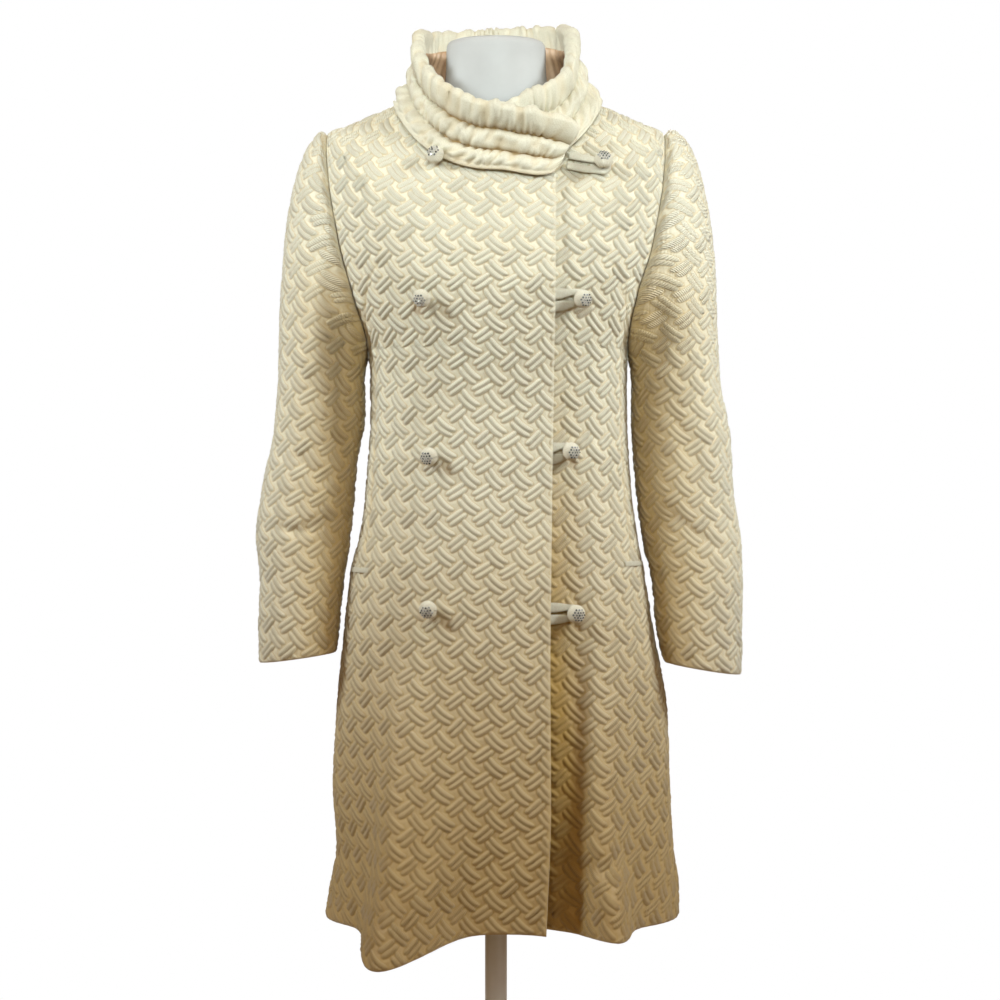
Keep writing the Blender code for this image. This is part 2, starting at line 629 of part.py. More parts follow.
def button_seat(row):
    """Foot and axis of a button, found from the middle of its ball."""
    side, x, z, lean_side, lean_down = row
    shank = SHANK_IN_LOOP if side == "left" else SHANK_ON_CLOTH
    reach = shank + BALL_DEPTH / 2
    foot, sideways, upward, outward = on_front(side, x, z)
    for _ in range(6):
        to_side = sideways * math.tan(math.radians(lean_side))
        downward = -upward * math.tan(math.radians(lean_down))
        axis = (outward + to_side + downward).normalized()
        foot, sideways, upward, outward = on_front(side, x - axis.x * reach, z - axis.z * reach)
    return foot + outward * SEAM_GAP, axis, shank


def make_buttons(collection):
    for number, row in enumerate(BUTTONS, 1):
        foot, axis, shank = button_seat(row)
        made = turned(f"button_{number}", button_profile(shank), (IVORY, 0.6), collection, steps=14)
        lean = axis.angle(on_front(row[0], foot.x, foot.z)[3])
        lift = axis * SHANK_RADIUS * math.tan(lean)
        turn = axis.to_track_quat("Z", "Y").to_matrix().to_4x4()
        made.matrix_world = Matrix.Translation(foot + lift) @ turn


def loop_rows(row):
    """Sections of a cloth loop, from below the front's edge round the shank and back."""
    number, from_x, from_z, spacing, width = row
    foot = button_seat(BUTTONS[number])[0]
    reach = foot.x - from_x
    tilt = math.atan2(foot.z - from_z, reach)
    length = math.hypot(reach, foot.z - from_z)
    stations = []
    for share in np.linspace(0, 1, 6)[:-1]:
        wide = width + (LOOP_TURN_WIDTH - width) * swell((share - 0.35) / 0.65)
        stations.append((length * share, spacing + (LOOP_TURN - spacing) * share, wide))
    bend = []
    for degrees in np.linspace(90, -90, 7):
        over = math.radians(degrees)
        bend.append((length + LOOP_TURN * math.cos(over), LOOP_TURN * math.sin(over), LOOP_TURN_WIDTH))
    path = stations + bend + [(along, -side, wide) for along, side, wide in stations[::-1]]
    rows = []
    for i, (along, side, wide) in enumerate(path):
        before, after = path[max(i - 1, 0)], path[min(i + 1, len(path) - 1)]
        run = Vector((after[0] - before[0], after[1] - before[1])).normalized()
        across = Vector((-run.y, run.x))
        section = []
        for degrees in range(0, 360, 45):
            over = math.radians(degrees)
            flat = Vector((along, side)) + across * (wide / 2 * math.cos(over))
            x = from_x + flat.x * math.cos(tilt) - flat.y * math.sin(tilt)
            z = from_z + flat.x * math.sin(tilt) + flat.y * math.cos(tilt)
            here, _, _, outward = on_front("left", x, z)
            height = SEAM_GAP * 2 + LOOP_THICKNESS / 2 * (1 + math.sin(over))
            section.append(here + outward * height)
        rows.append(section)
    return rows


def make_loops(collection):
    for number, row in enumerate(LOOPS, 1):
        loft(f"loop_{number}", loop_rows(row), (IVORY, 0.55), collection, round_rows=True, capped=True)


def make_form(collection):
    """A smooth white torso with a capped neck, on a pole and a round base."""
    white = (WHITE, 0.4)
    heights = column(FORM, FORM_COLUMNS, "z")
    rows = []
    for share in np.linspace(0, len(FORM) - 1, 27):
        z = np.interp(share, range(len(FORM)), heights)
        half = eased(heights, column(FORM, FORM_COLUMNS, "half"), z)
        forward = eased(heights, column(FORM, FORM_COLUMNS, "front_y"), z)
        backward = eased(heights, column(FORM, FORM_COLUMNS, "back_y"), z)
        ring_points = []
        for angle in np.linspace(0, 2 * math.pi, 25)[:-1]:
            deep = forward if math.cos(angle) > 0 else backward
            ring_points.append((half * math.sin(angle), deep * abs(math.cos(angle)), z))
        rows.append(ring_points)
    loft("form_body", rows, white, collection, round_rows=True, capped=True)
    top, foot = FORM[0][0] - SEAM_GAP, BASE_HEIGHT + SEAM_GAP
    pole = [(0, top), (POLE_RADIUS, top), (POLE_RADIUS, foot), (0, foot)]
    turned("form_pole", pole, white, collection, steps=20)
    rim = BASE_RADIUS - BASE_EDGE
    side = BASE_HEIGHT - BASE_EDGE
    base = [(0, BASE_HEIGHT), (rim, BASE_HEIGHT), (BASE_RADIUS, side), (BASE_RADIUS, 0), (0, 0)]
    turned("form_base", base, white, collection, steps=40)


def main():
    for old in list(bpy.data.objects):
        bpy.data.objects.remove(old)
    collection = bpy.data.collections.new("brocade_coat")
    bpy.context.scene.collection.children.link(collection)
    make_coat(collection)
    make_collar(collection)
    make_pockets(collection)
    make_buttons(collection)
    make_loops(collection)
    make_form(collection)


main()
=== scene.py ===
"""Looks of a double-breasted brocade coat with a rolled wrap collar, worn by a limbless dress form.

Metres, +Z up. The coat faces -Y and the form's base stands on z = 0. Right and left are the
wearer's, so the right side of the coat lies at -X. Angles run round the body from the front (0)
over the wearer's left side (90) to the back (180). Cloth coordinates are u, which runs to the
right of who looks at the cloth, and v, which runs up it; both are lengths of cloth.
"""

import logging
import math
from dataclasses import dataclass, field
from enum import Enum
from functools import partial
from typing import Any, Callable, Sequence

import bmesh
import bpy
import numpy as np
from mathutils import Matrix, Vector


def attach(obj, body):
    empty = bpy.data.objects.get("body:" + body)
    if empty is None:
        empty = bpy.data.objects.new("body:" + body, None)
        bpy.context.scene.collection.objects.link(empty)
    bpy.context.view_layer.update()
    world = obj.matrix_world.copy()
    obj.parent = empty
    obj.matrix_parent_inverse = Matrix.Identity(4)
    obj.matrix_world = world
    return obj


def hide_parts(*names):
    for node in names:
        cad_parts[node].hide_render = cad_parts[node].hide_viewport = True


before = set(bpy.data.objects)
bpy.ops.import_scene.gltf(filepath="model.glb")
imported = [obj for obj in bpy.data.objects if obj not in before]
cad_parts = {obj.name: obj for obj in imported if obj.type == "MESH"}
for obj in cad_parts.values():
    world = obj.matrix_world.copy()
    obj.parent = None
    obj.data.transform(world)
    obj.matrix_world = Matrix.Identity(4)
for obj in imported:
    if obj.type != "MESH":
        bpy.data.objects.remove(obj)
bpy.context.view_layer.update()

LOG = logging.getLogger("brocade_coat")
BODY = "root"

CLOTH = 0.0028
SEAM_GAP = 0.0004
Colour = tuple[float, float, float]
Point = tuple[float, float, float]
Numbers = np.ndarray | float
Socket, Tree = bpy.types.NodeSocket, bpy.types.NodeTree
Material, Mesh = bpy.types.Material, bpy.types.Mesh
Number = Any  # an array of numbers, or one number in a material's nodes
Maths = Any  # numpy, or the same functions over a material's nodes


class Side(Enum):
    """The wearer's side that a piece belongs to, with the sign of its x."""

    RIGHT = -1
    LEFT = 1

    @property
    def word(self) -> str:
        """The side's word in the pieces' names."""
        return self.name.lower()


@dataclass(frozen=True)
class Table:
    """Rows of sizes under named columns; the first column says where a row holds."""

    names: tuple[str, ...]
    rows: tuple[tuple[float, ...], ...]

    def column(self, name: str) -> np.ndarray:
        """One named column as an array."""
        return np.array([row[self.names.index(name)] for row in self.rows], float)

    def read(self, name: str, at: Numbers) -> np.ndarray:
        """A column's value between the rows.

        Args:
            name: the column.
            at: places in the first column's measure.

        Returns:
            The eased values, in the shape of at.
        """
        return eased(self.column(self.names[0]), self.column(name), at)


def eased(places: np.ndarray, values: np.ndarray, at: Numbers) -> np.ndarray:
    """A smooth line through the values that never swings past them.

    Args:
        places: where the values hold, in rising order.
        values: one value for each place.
        at: where to read the line.

    Returns:
        The line's values at those places.
    """
    step = np.diff(places)
    rise = np.diff(values) / step
    slope = np.zeros(len(values))
    slope[0], slope[-1] = rise[0], rise[-1]
    same_way = rise[1:] * rise[:-1] > 0
    both = np.where(same_way, rise[1:] + rise[:-1], 1.0)
    slope[1:-1] = np.where(same_way, 2 * rise[1:] * rise[:-1] / both, 0.0)
    at = np.clip(at, places[0], places[-1])
    i = np.clip(np.searchsorted(places, at) - 1, 0, len(step) - 1)
    t = (at - places[i]) / step[i]
    start, end = values[i], values[i + 1]
    pull_in, pull_out = slope[i] * step[i], slope[i + 1] * step[i]
    cubic = t * t * (3 - 2 * t)
    return start + (end - start) * cubic + t * (1 - t) * ((1 - t) * pull_in - t * pull_out)


def swell(t: Numbers) -> np.ndarray:
    """0 below 0, 1 above 1, and a soft rise between."""
    t = np.clip(t, 0, 1)
    return t * t * (3 - 2 * t)


def along_rows(points: np.ndarray, level_only: bool = False) -> np.ndarray:
    """Length of cloth from the first point of each row.

    Args:
        points: rows of points.
        level_only: leave the rise out of the length.

    Returns:
        One length for each point.
    """
    steps = np.diff(points, axis=1)
    if level_only:
        steps = steps[..., :2]
    lengths = np.cumsum(np.linalg.norm(steps, axis=-1), axis=1)
    return np.concatenate([np.zeros((len(points), 1)), lengths], axis=1)


def jitter(seed: Number, maths: Maths) -> Number:
    """A number from 0 to 1 that is always the same for the same seed."""
    whirl = maths.sin(seed * 1.317 + 4.1414) * 97.31
    return whirl - maths.floor(whirl)


@dataclass
class CoatForm:
    """The surface that the coat's cloth follows: rings round the body, tilting up to the neck."""

    hem: float = 0.475
    armpit: float = 1.093
    shoulder: float = 1.20
    neck: float = 1.283
    roundness: float = 2 / 2.2
    scoops: tuple[float, float] = (2.0, 1.3)
    side_seam: float = 0.0016
    bust: tuple[float, float, float, float] = (0.085, 1.155, 0.060, 0.004)
    lap_opens_x: float = 0.072
    lap_closes_x: float = 0.140
    lap_closes_angle: float = 45.0
    neck_drop: float = 0.017
    neck_drop_from: float = 1.15
    neck_drop_reach: float = 0.066
    armhole_front: float = 0.058
    armhole_back: float = 0.062
    armhole_fullness: float = 2.3
    rings: Table = Table(
        ("level", "side_z", "back_z", "half_right", "half_left", "front_y", "back_y"),
        (
            (0.475, 0.475, 0.475, 0.188, 0.201, -0.128, 0.135),
            (0.510, 0.510, 0.510, 0.182, 0.200, -0.126, 0.133),
            (0.547, 0.547, 0.547, 0.176, 0.195, -0.124, 0.131),
            (0.620, 0.620, 0.620, 0.179, 0.191, -0.120, 0.127),
            (0.700, 0.700, 0.700, 0.175, 0.188, -0.116, 0.122),
            (0.785, 0.785, 0.785, 0.167, 0.173, -0.111, 0.118),
            (0.848, 0.848, 0.848, 0.160, 0.163, -0.108, 0.114),
            (0.904, 0.904, 0.904, 0.147, 0.153, -0.103, 0.108),
            (0.956, 0.956, 0.956, 0.142, 0.147, -0.100, 0.100),
            (1.020, 1.020, 1.020, 0.1375, 0.144, -0.100, 0.092),
            (1.065, 1.065, 1.065, 0.138, 0.1435, -0.105, 0.090),
            (1.093, 1.093, 1.093, 0.141, 0.145, -0.110, 0.093),
            (1.130, 1.160, 1.160, 0.171, 0.169, -0.115, 0.098),
            (1.158, 1.220, 1.208, 0.189, 0.189, -0.118, 0.101),
            (1.180, 1.275, 1.252, 0.195, 0.195, -0.116, 0.101),
            (1.200, 1.332, 1.300, 0.185, 0.184, -0.112, 0.097),
            (1.226, 1.342, 1.330, 0.163, 0.165, -0.105, 0.091),
            (1.254, 1.353, 1.354, 0.137, 0.142, -0.096, 0.083),
            (1.283, 1.367, 1.374, 0.107, 0.111, -0.085, 0.073),
        ),
    )
    flares: Table = Table(
        ("angle", "spread", "outward", "drop", "start_z"),
        (
            (-27, 13, 0.070, 0.029, 0.80),
            (-9, 8, -0.006, 0.000, 0.88),
            (27, 12, 0.054, 0.004, 0.78),
            (128, 15, 0.026, 0.006, 0.80),
            (154, 14, -0.014, 0.000, 0.85),
            (184, 17, 0.034, 0.008, 0.82),
            (-150, 14, -0.014, 0.000, 0.80),
            (-126, 15, 0.026, 0.004, 0.78),
        ),
    )
    lap: Table = Table(
        ("z", "edge_x", "depth"),
        (
            (0.470, 0.0490, 0.0450),
            (0.615, 0.0557, 0.0300),
            (0.782, 0.0581, 0.0165),
            (0.950, 0.0605, 0.0110),
            (1.056, 0.0622, 0.0092),
            (1.290, 0.0646, 0.0092),
        ),
    )

    def body(self, level: Numbers, angle: Numbers) -> np.ndarray:
        """Points of the coat's outer surface.

        Args:
            level: heights of the rings at the centre front.
            angle: angles round them, in radians.

        Returns:
            The points, x, y and z in the last axis.
        """
        level, angle = np.broadcast_arrays(np.asarray(level, float), np.asarray(angle, float))
        sine, cosine = np.sin(angle), np.cos(angle)
        ring = self.rings.read
        half = np.where(sine < 0, ring("half_right", level), ring("half_left", level))
        deep = np.where(cosine > 0, ring("front_y", level), ring("back_y", level))
        side_z = ring("side_z", level)
        tip = np.where(cosine > 0, level, ring("back_z", level))
        x = np.sign(sine) * np.abs(sine) ** self.roundness * half
        y = np.abs(cosine) ** self.roundness * deep
        toward_neck = swell((level - self.shoulder) / (self.neck - self.shoulder))
        ring_scoop, neck_scoop = self.scoops
        scoop = np.where(cosine > 0, ring_scoop + (neck_scoop - ring_scoop) * toward_neck, ring_scoop)
        z = side_z + (tip - side_z) * np.abs(cosine) ** scoop
        bust_x, bust_z, bust_spread, bust_fullness = self.bust
        apart = ((np.abs(x) - bust_x) ** 2 + (z - bust_z) ** 2) / bust_spread**2
        y = y - np.where(cosine > 0, bust_fullness * np.exp(-apart) * cosine**2, 0)
        for flare_angle, spread, outward, drop, start_z in self.flares.rows:
            off = (np.degrees(angle) - flare_angle + 180) % 360 - 180
            grown = np.clip((start_z - z) / (start_z - self.hem), 0, 1.2) ** 1.6
            share = grown * np.exp(-((off / spread) ** 2))
            x = x + outward * share * sine
            y = y - outward * share * cosine
            z = z - drop * share
        return np.stack([x, y, z], axis=-1)

    def front(self, side: Side, level: Numbers, angle: Numbers) -> np.ndarray:
        """Points of one front: body, with its lap over or under the other front.

        Args:
            side: the front's side.
            level: heights of the rings at the centre front.
            angle: angles round them, in radians.

        Returns:
            The points, x, y and z in the last axis.
        """
        level, angle = np.broadcast_arrays(np.asarray(level, float), np.asarray(angle, float))
        sign, far_half = (1, "half_left") if side is Side.RIGHT else (-1, "half_right")
        sine = np.sin(angle) * sign
        ring = self.rings.read
        past_middle = np.clip(sine, 0, 1) ** self.roundness * ring(far_half, level)
        height = np.clip((level - self.neck_drop_from) / (self.neck - self.neck_drop_from), 0, 1)
        lower = level - self.neck_drop * height**2 * swell(past_middle / self.neck_drop_reach)
        kept = np.arcsin(np.clip(past_middle / ring(far_half, lower), 0, 1) ** (1 / self.roundness))
        points = self.body(lower, np.where((sine > 0) & (lower < level), sign * kept, angle))
        if side is Side.LEFT:
            x, z = points[..., 0], points[..., 2]
            opening = (x - self.lap_opens_x) / (self.lap_closes_x - self.lap_opens_x)
            turned_back = (np.degrees(angle) - self.lap_closes_angle) / (90 - self.lap_closes_angle)
            closing = (1 - swell(opening)) * (1 - swell(turned_back))
            points[..., 1] += self.lap.read("depth", z) * closing
        return points

    def armhole_angle(self, level: Numbers, behind: bool) -> np.ndarray:
        """The angle at which a ring meets the armhole or the side seam.

        Args:
            level: heights of the rings.
            behind: read it on the back instead of the fronts.

        Returns:
            The angles, on the wearer's left, in radians.
        """
        ring = self.rings.read
        low, high = ring("side_z", self.armpit), ring("side_z", self.shoulder)
        share = np.clip((ring("side_z", level) - low) / (high - low), 0, 1)
        share = np.where(np.asarray(level) > self.shoulder, 1, share)
        open_by = np.sqrt(np.clip(1 - np.abs(2 * share - 1) ** self.armhole_fullness, 0, 1))
        if behind:
            reach = open_by * self.armhole_back / ring("back_y", level)
            return math.pi - np.arccos(reach ** (1 / self.roundness))
        reach = open_by * self.armhole_front / -ring("front_y", level)
        return np.arccos(reach ** (1 / self.roundness))

    def edge_angle(self, level: Numbers, side: Side) -> np.ndarray:
        """The angle of a front's own edge, past the middle of the coat."""
        half = self.rings.read("half_left" if side is Side.RIGHT else "half_right", level)
        angle = np.arcsin((self.lap.read("edge_x", level) / half) ** (1 / self.roundness))
        return -side.value * angle

    def armhole(self, side: Side, turned: np.ndarray) -> np.ndarray:
        """Points round an armhole, from the armpit up the front and down the back.

        Args:
            side: the armhole's side.
            turned: how far round, in radians.

        Returns:
            One point for each of them.
        """
        ring = self.rings.read
        low, high = ring("side_z", self.armpit), ring("side_z", self.shoulder)
        fine = np.linspace(self.armpit, self.shoulder, 400)
        level = np.interp(low + (high - low) * (1 - np.cos(turned)) / 2, ring("side_z", fine), fine)
        before = self.armhole_angle(level, False)
        behind = self.armhole_angle(level, True)
        return self.body(level, side.value * np.where(np.sin(turned) >= 0, before, behind))

    def on_front(self, side: Side, x: Numbers, z: Numbers) -> tuple[np.ndarray, ...]:
        """Where a front passes through x and z.

        Args:
            side: the front's side.
            x: distances from the coat's middle.
            z: heights.

        Returns:
            The points, and the directions sideways, up the cloth and out of it.
        """
        x, z = np.broadcast_arrays(np.asarray(x, float), np.asarray(z, float))
        level = z.copy()
        for _ in range(30):
            half = np.where(x < 0, self.rings.read("half_right", level), self.rings.read("half_left", level))
            angle = np.copysign(np.arcsin(np.minimum(np.abs(x) / half, 1) ** (1 / self.roundness)), x)
            level = np.minimum(level + 0.7 * (z - self.front(side, level, angle)[..., 2]), self.neck)
        here = self.front(side, level, angle)
        sideways = unit(self.front(side, level, angle + 0.02) - here)
        upward = unit(self.front(side, level + 0.003, angle) - here)
        return here, sideways, upward, unit(np.cross(sideways, upward))

    def levels(self, spacing: float, multiple: int) -> np.ndarray:
        """Ring levels from hem to neck at an even spacing of cloth.

        Args:
            spacing: the distance between rings.
            multiple: the number of steps is a multiple of this.

        Returns:
            The levels.
        """
        fine = np.linspace(self.hem, self.neck, 800)
        height = (fine + self.rings.read("side_z", fine)) / 2
        steps = multiple * round((height[-1] - height[0]) / spacing / multiple)
        return np.interp(np.linspace(height[0], height[-1], steps + 1), height, fine)


def unit(vectors: np.ndarray) -> np.ndarray:
    """The same directions, each of length 1."""
    return vectors / np.maximum(np.linalg.norm(vectors, axis=-1, keepdims=True), 1e-12)


@dataclass(frozen=True)
class Strand:
    """One kind of puffed pair in the weave: two cords side by side, a little bowed."""

    at: tuple[float, float]
    slant: float
    half_length: float
    half_width: float
    apart: float
    bow: float


@dataclass(frozen=True)
class Weave:
    """The puffed basket motif of the brocade, repeated on a lattice."""

    pitch: tuple[float, float] = (0.0277, 0.0277)
    puff: float = 0.0026
    sunk: float = 0.0018
    ground: float = 0.34
    wander: float = 0.0008
    start_v: float = 0.926
    strands: tuple[Strand, ...] = (
        Strand((0.0, 0.0), -43, 0.0124, 0.0032, 0.0066, 0.0017),
        Strand((0.5, 0.5), 37, 0.0110, 0.0030, 0.0061, 0.0004),
    )

    def read(self, u: Number, v: Number, maths: Maths = np) -> tuple[Number, Number, Number]:
        """The motif at cloth coordinates.

        Args:
            u: lengths across the cloth.
            v: lengths up the cloth.
            maths: numpy for arrays, or NodeMaths for a material's numbers.

        Returns:
            The puff's height from 0 to 1, the length along the nearest cord, and the groove beside it.
        """
        v = v - self.start_v
        pu, pv = self.pitch
        u = u + self.wander * (maths.sin(v * 61 + 1.3) + 0.6 * maths.sin(u * 83 + v * 37))
        v = v + self.wander * (maths.sin(u * 57 + 0.4) + 0.6 * maths.sin(v * 71 - u * 29))
        height, run, nearest = u * 0.0, u * 0.0, u * 0.0 + 9.0
        for kind, strand in enumerate(self.strands):
            column = maths.round(u / pu - strand.at[0])
            row = maths.round(v / pv - strand.at[1])
            across = u - (column + strand.at[0]) * pu
            up = v - (row + strand.at[1]) * pv
            chance = jitter(column * 7.1 + row * 13.7 + kind * 3.3, maths)
            slant = chance * 0.16 + (math.radians(strand.slant) - 0.08)
            along = across * maths.cos(slant) + up * maths.sin(slant)
            off = up * maths.cos(slant) - across * maths.sin(slant)
            share = along / strand.half_length
            off = off + strand.bow * (1.0 - share * share)
            aside = maths.abs(off) - strand.apart / 2
            past = maths.maximum(maths.abs(along) - (strand.half_length - strand.half_width * 1.5), 0.0) / 1.7
            reach = maths.sqrt(aside * aside + past * past) / strand.half_width
            nearest = nearest - maths.maximum(nearest - reach, 0.0)
            full = (chance * 0.3 + 0.82) * maths.sqrt(maths.maximum(1.0 - reach * reach, 0.0))
            higher = full > height
            run = along * higher + run * (1.0 - higher)
            height = maths.maximum(height, full)
        cushion = 1.0 - maths.maximum(1.0 - maths.maximum(nearest - 1.0, 0.0) / 0.9, 0.0)
        groove = maths.maximum(1.0 - maths.abs(nearest - 1.06) / 0.30, 0.0)
        return maths.maximum(height, cushion * self.ground), run, groove


@dataclass(frozen=True)
class Crease:
    """A listed fold: a soft line over the cloth, raised or sunk, fading at its ends."""

    line: tuple[tuple[float, float], ...]
    width: float
    rise: float
    behind: bool = False
    fade: float = 0.3

    def lift(self, points: np.ndarray, facing: Numbers = 1.0) -> np.ndarray:
        """How far the fold lifts the cloth.

        Args:
            points: the cloth's points.
            facing: from 1 on the piece's front to 0 on its back.

        Returns:
            One distance along the normal for each point.
        """
        x, z = points[..., 0], points[..., 2]
        ends = np.array(self.line, float)
        runs = np.linalg.norm(np.diff(ends, axis=0), axis=1)
        total, done = runs.sum(), 0.0
        nearest, place = np.full(x.shape, 1e9), np.zeros(x.shape)
        for start, end, run in zip(ends[:-1], ends[1:], runs):
            step = (end - start) / run
            t = np.clip((x - start[0]) * step[0] + (z - start[1]) * step[1], 0, run)
            away = np.hypot(x - start[0] - step[0] * t, z - start[1] - step[1] * t)
            place = np.where(away < nearest, (done + t) / total, place)
            nearest = np.minimum(nearest, away)
            done += run
        strength = swell(place / self.fade) * swell((1 - place) / self.fade) if self.fade else 1.0
        shape = np.exp(-((nearest / self.width) ** 2)) * strength
        return self.rise * shape * (1 - facing if self.behind else facing)


@dataclass(frozen=True)
class Brocade:
    """Puffed brocade: ivory crests, valleys in painted warmer shade, fine ribs across each cord, a soft
    sheen.
    """

    name: str
    crest: Colour = (0.82, 0.79, 0.655)
    shaded_valley: Colour = (0.79, 0.73, 0.56)
    shade: Colour = (0.53, 0.35, 0.11)
    roughness: float = 0.50
    sheen: float = 0.20
    rib_pitch: float = 0.0020
    rib_depth: float = 0.00050
    rib_shade: float = 0.15
    groove_shade: float = 0.42
    yarn_scale: float = 1500.0
    weave: Weave | None = None
    cord_depth: float = 0.0016

    def material(self) -> Material:
        """The finish as a node material that reads the cloth's own attributes."""
        made, tree, shader = new_material(self.name, self.roughness)
        shader.inputs["Sheen Weight"].default_value = self.sheen
        shader.inputs["Sheen Roughness"].default_value = 0.45
        shader.inputs["Specular IOR Level"].default_value = 0.35
        shade_paint_share = attribute(tree, "shade")
        cloth = tree.nodes.new("ShaderNodeUVMap")
        cloth.uv_map = "cloth"
        if self.weave:
            split = tree.nodes.new("ShaderNodeSeparateXYZ")
            tree.links.new(cloth.outputs["UV"], split.inputs["Vector"])
            across, up = NodeNumber(tree, split.outputs["X"]), NodeNumber(tree, split.outputs["Y"])
            height, length, beside = self.weave.read(across, up, NodeMaths)
            whole = NodeNumber(tree, attribute(tree, "puff"))
            puff, run, groove = (height * whole).socket, length.socket, (beside * whole).socket
        else:
            puff, run, groove = attribute(tree, "puff"), attribute(tree, "run"), 0.0
        tone = noise(tree, cloth.outputs["UV"], 9.0, 3.0)
        fleck = noise(tree, cloth.outputs["UV"], 700.0, 2.0)
        # Painted shade: valleys darker and warmer than crests, darker between the ribs and in the grooves
        # beside the cords.
        lit = remap(tree, puff, 0.0, 0.62, 0.0, 1.0)
        ground = mix_colour(tree, lit, self.shaded_valley, self.crest)
        toned = mix_colour(tree, remap(tree, tone, 0.40, 0.80, 0.0, 0.5), ground, self.shaded_valley)
        flecked = mix_colour(tree, remap(tree, fleck, 0.45, 0.8, 0.0, 0.25), toned, self.shade)
        ribs = math_node(tree, "SINE", math_node(tree, "MULTIPLY", run, math.tau / self.rib_pitch))
        between = math_node(tree, "MULTIPLY", remap(tree, ribs, -1.0, 1.0, self.rib_shade, 0.0), puff)
        ribbed = mix_colour(tree, between, flecked, self.shade)
        grooved = mix_colour(tree, math_node(tree, "MULTIPLY", groove, self.groove_shade), ribbed, self.shade)
        # Painted shade that the mesh's shade attribute carries: darts, seams, hem, inner sleeves and collar
        # creases.
        shaded = mix_colour(tree, shade_paint_share, grooved, self.shade)
        tree.links.new(shaded, shader.inputs["Base Color"])
        rough = remap(tree, tone, 0.2, 0.8, self.roughness - 0.06, self.roughness + 0.08)
        tree.links.new(rough, shader.inputs["Roughness"])
        raised = math_node(tree, "MULTIPLY", ribs, puff)
        cord_bump = bump(tree, puff, self.cord_depth, 0.7, None) if self.weave else None
        rib_bump = bump(tree, raised, self.rib_depth, 0.9, cord_bump)
        yarn = noise(tree, cloth.outputs["UV"], self.yarn_scale, 2.0)
        yarn_bump = bump(tree, yarn, 0.00025, 0.45, rib_bump)
        tree.links.new(yarn_bump, shader.inputs["Normal"])
        return made


@dataclass(frozen=True)
class Satin:
    """The tan satin of the collar's inside, its tan partly painted shade: smooth, a little lustrous, softly
    clouded.
    """

    name: str = "lining_satin"
    light: Colour = (0.72, 0.50, 0.33)
    deep: Colour = (0.52, 0.32, 0.18)

    def material(self) -> Material:
        """The finish as a node material."""
        made, tree, shader = new_material(self.name, 0.38)
        shader.inputs["Sheen Weight"].default_value = 0.1
        place = tree.nodes.new("ShaderNodeTexCoord").outputs["Object"]
        cloud = noise(tree, place, 60.0, 3.0)
        colour = mix_colour(tree, remap(tree, cloud, 0.3, 0.7, 0.0, 1.0), self.light, self.deep)
        tree.links.new(colour, shader.inputs["Base Color"])
        weave = noise(tree, place, 2400.0, 1.0)
        tree.links.new(bump(tree, weave, 0.0001, 0.3, None), shader.inputs["Normal"])
        return made


@dataclass(frozen=True)
class Shell:
    """A smooth moulded or painted white surface with the faintest mottle."""

    name: str
    colour: Colour
    roughness: float
    coat: float = 0.0
    glow: float = 0.0

    def material(self) -> Material:
        """The finish as a node material."""
        made, tree, shader = new_material(self.name, self.roughness)
        shader.inputs["Coat Weight"].default_value = self.coat
        shader.inputs["Emission Color"].default_value = (1, 1, 1, 1)
        shader.inputs["Emission Strength"].default_value = self.glow
        place = tree.nodes.new("ShaderNodeTexCoord").outputs["Object"]
        mottle = noise(tree, place, 35.0, 3.0)
        darker = tuple(part * 0.94 for part in self.colour)
        colour = mix_colour(tree, remap(tree, mottle, 0.35, 0.7, 0.0, 1.0), self.colour, darker)
        tree.links.new(colour, shader.inputs["Base Color"])
        grain = noise(tree, place, 900.0, 2.0)
        tree.links.new(bump(tree, grain, 0.00008, 0.25, None), shader.inputs["Normal"])
        return made


@dataclass(frozen=True)
class Stone:
    """The dark cut stones on the buttons: smoky glass on a foil back, with pale cells painted as glints."""

    name: str = "smoky_stone"
    pale: Colour = (0.90, 0.88, 0.82)
    dark: Colour = (0.012, 0.012, 0.015)

    def material(self) -> Material:
        """The finish as a node material."""
        made, tree, shader = new_material(self.name, 0.12)
        shader.inputs["Metallic"].default_value = 0.4
        shader.inputs["Coat Weight"].default_value = 1.0
        shader.inputs["Coat Roughness"].default_value = 0.03
        place = tree.nodes.new("ShaderNodeTexCoord").outputs["Object"]
        cell = tree.nodes.new("ShaderNodeTexVoronoi")
        cell.inputs["Scale"].default_value = 620.0
        tree.links.new(place, cell.inputs["Vector"])
        split = tree.nodes.new("ShaderNodeSeparateColor")
        tree.links.new(cell.outputs["Color"], split.inputs["Color"])
        # Pale cells among the dark are painted glints of the facets.
        share = remap(tree, split.outputs["Red"], 0.62, 0.68, 0.0, 1.0)
        tree.links.new(mix_colour(tree, share, self.dark, self.pale), shader.inputs["Base Color"])
        return made


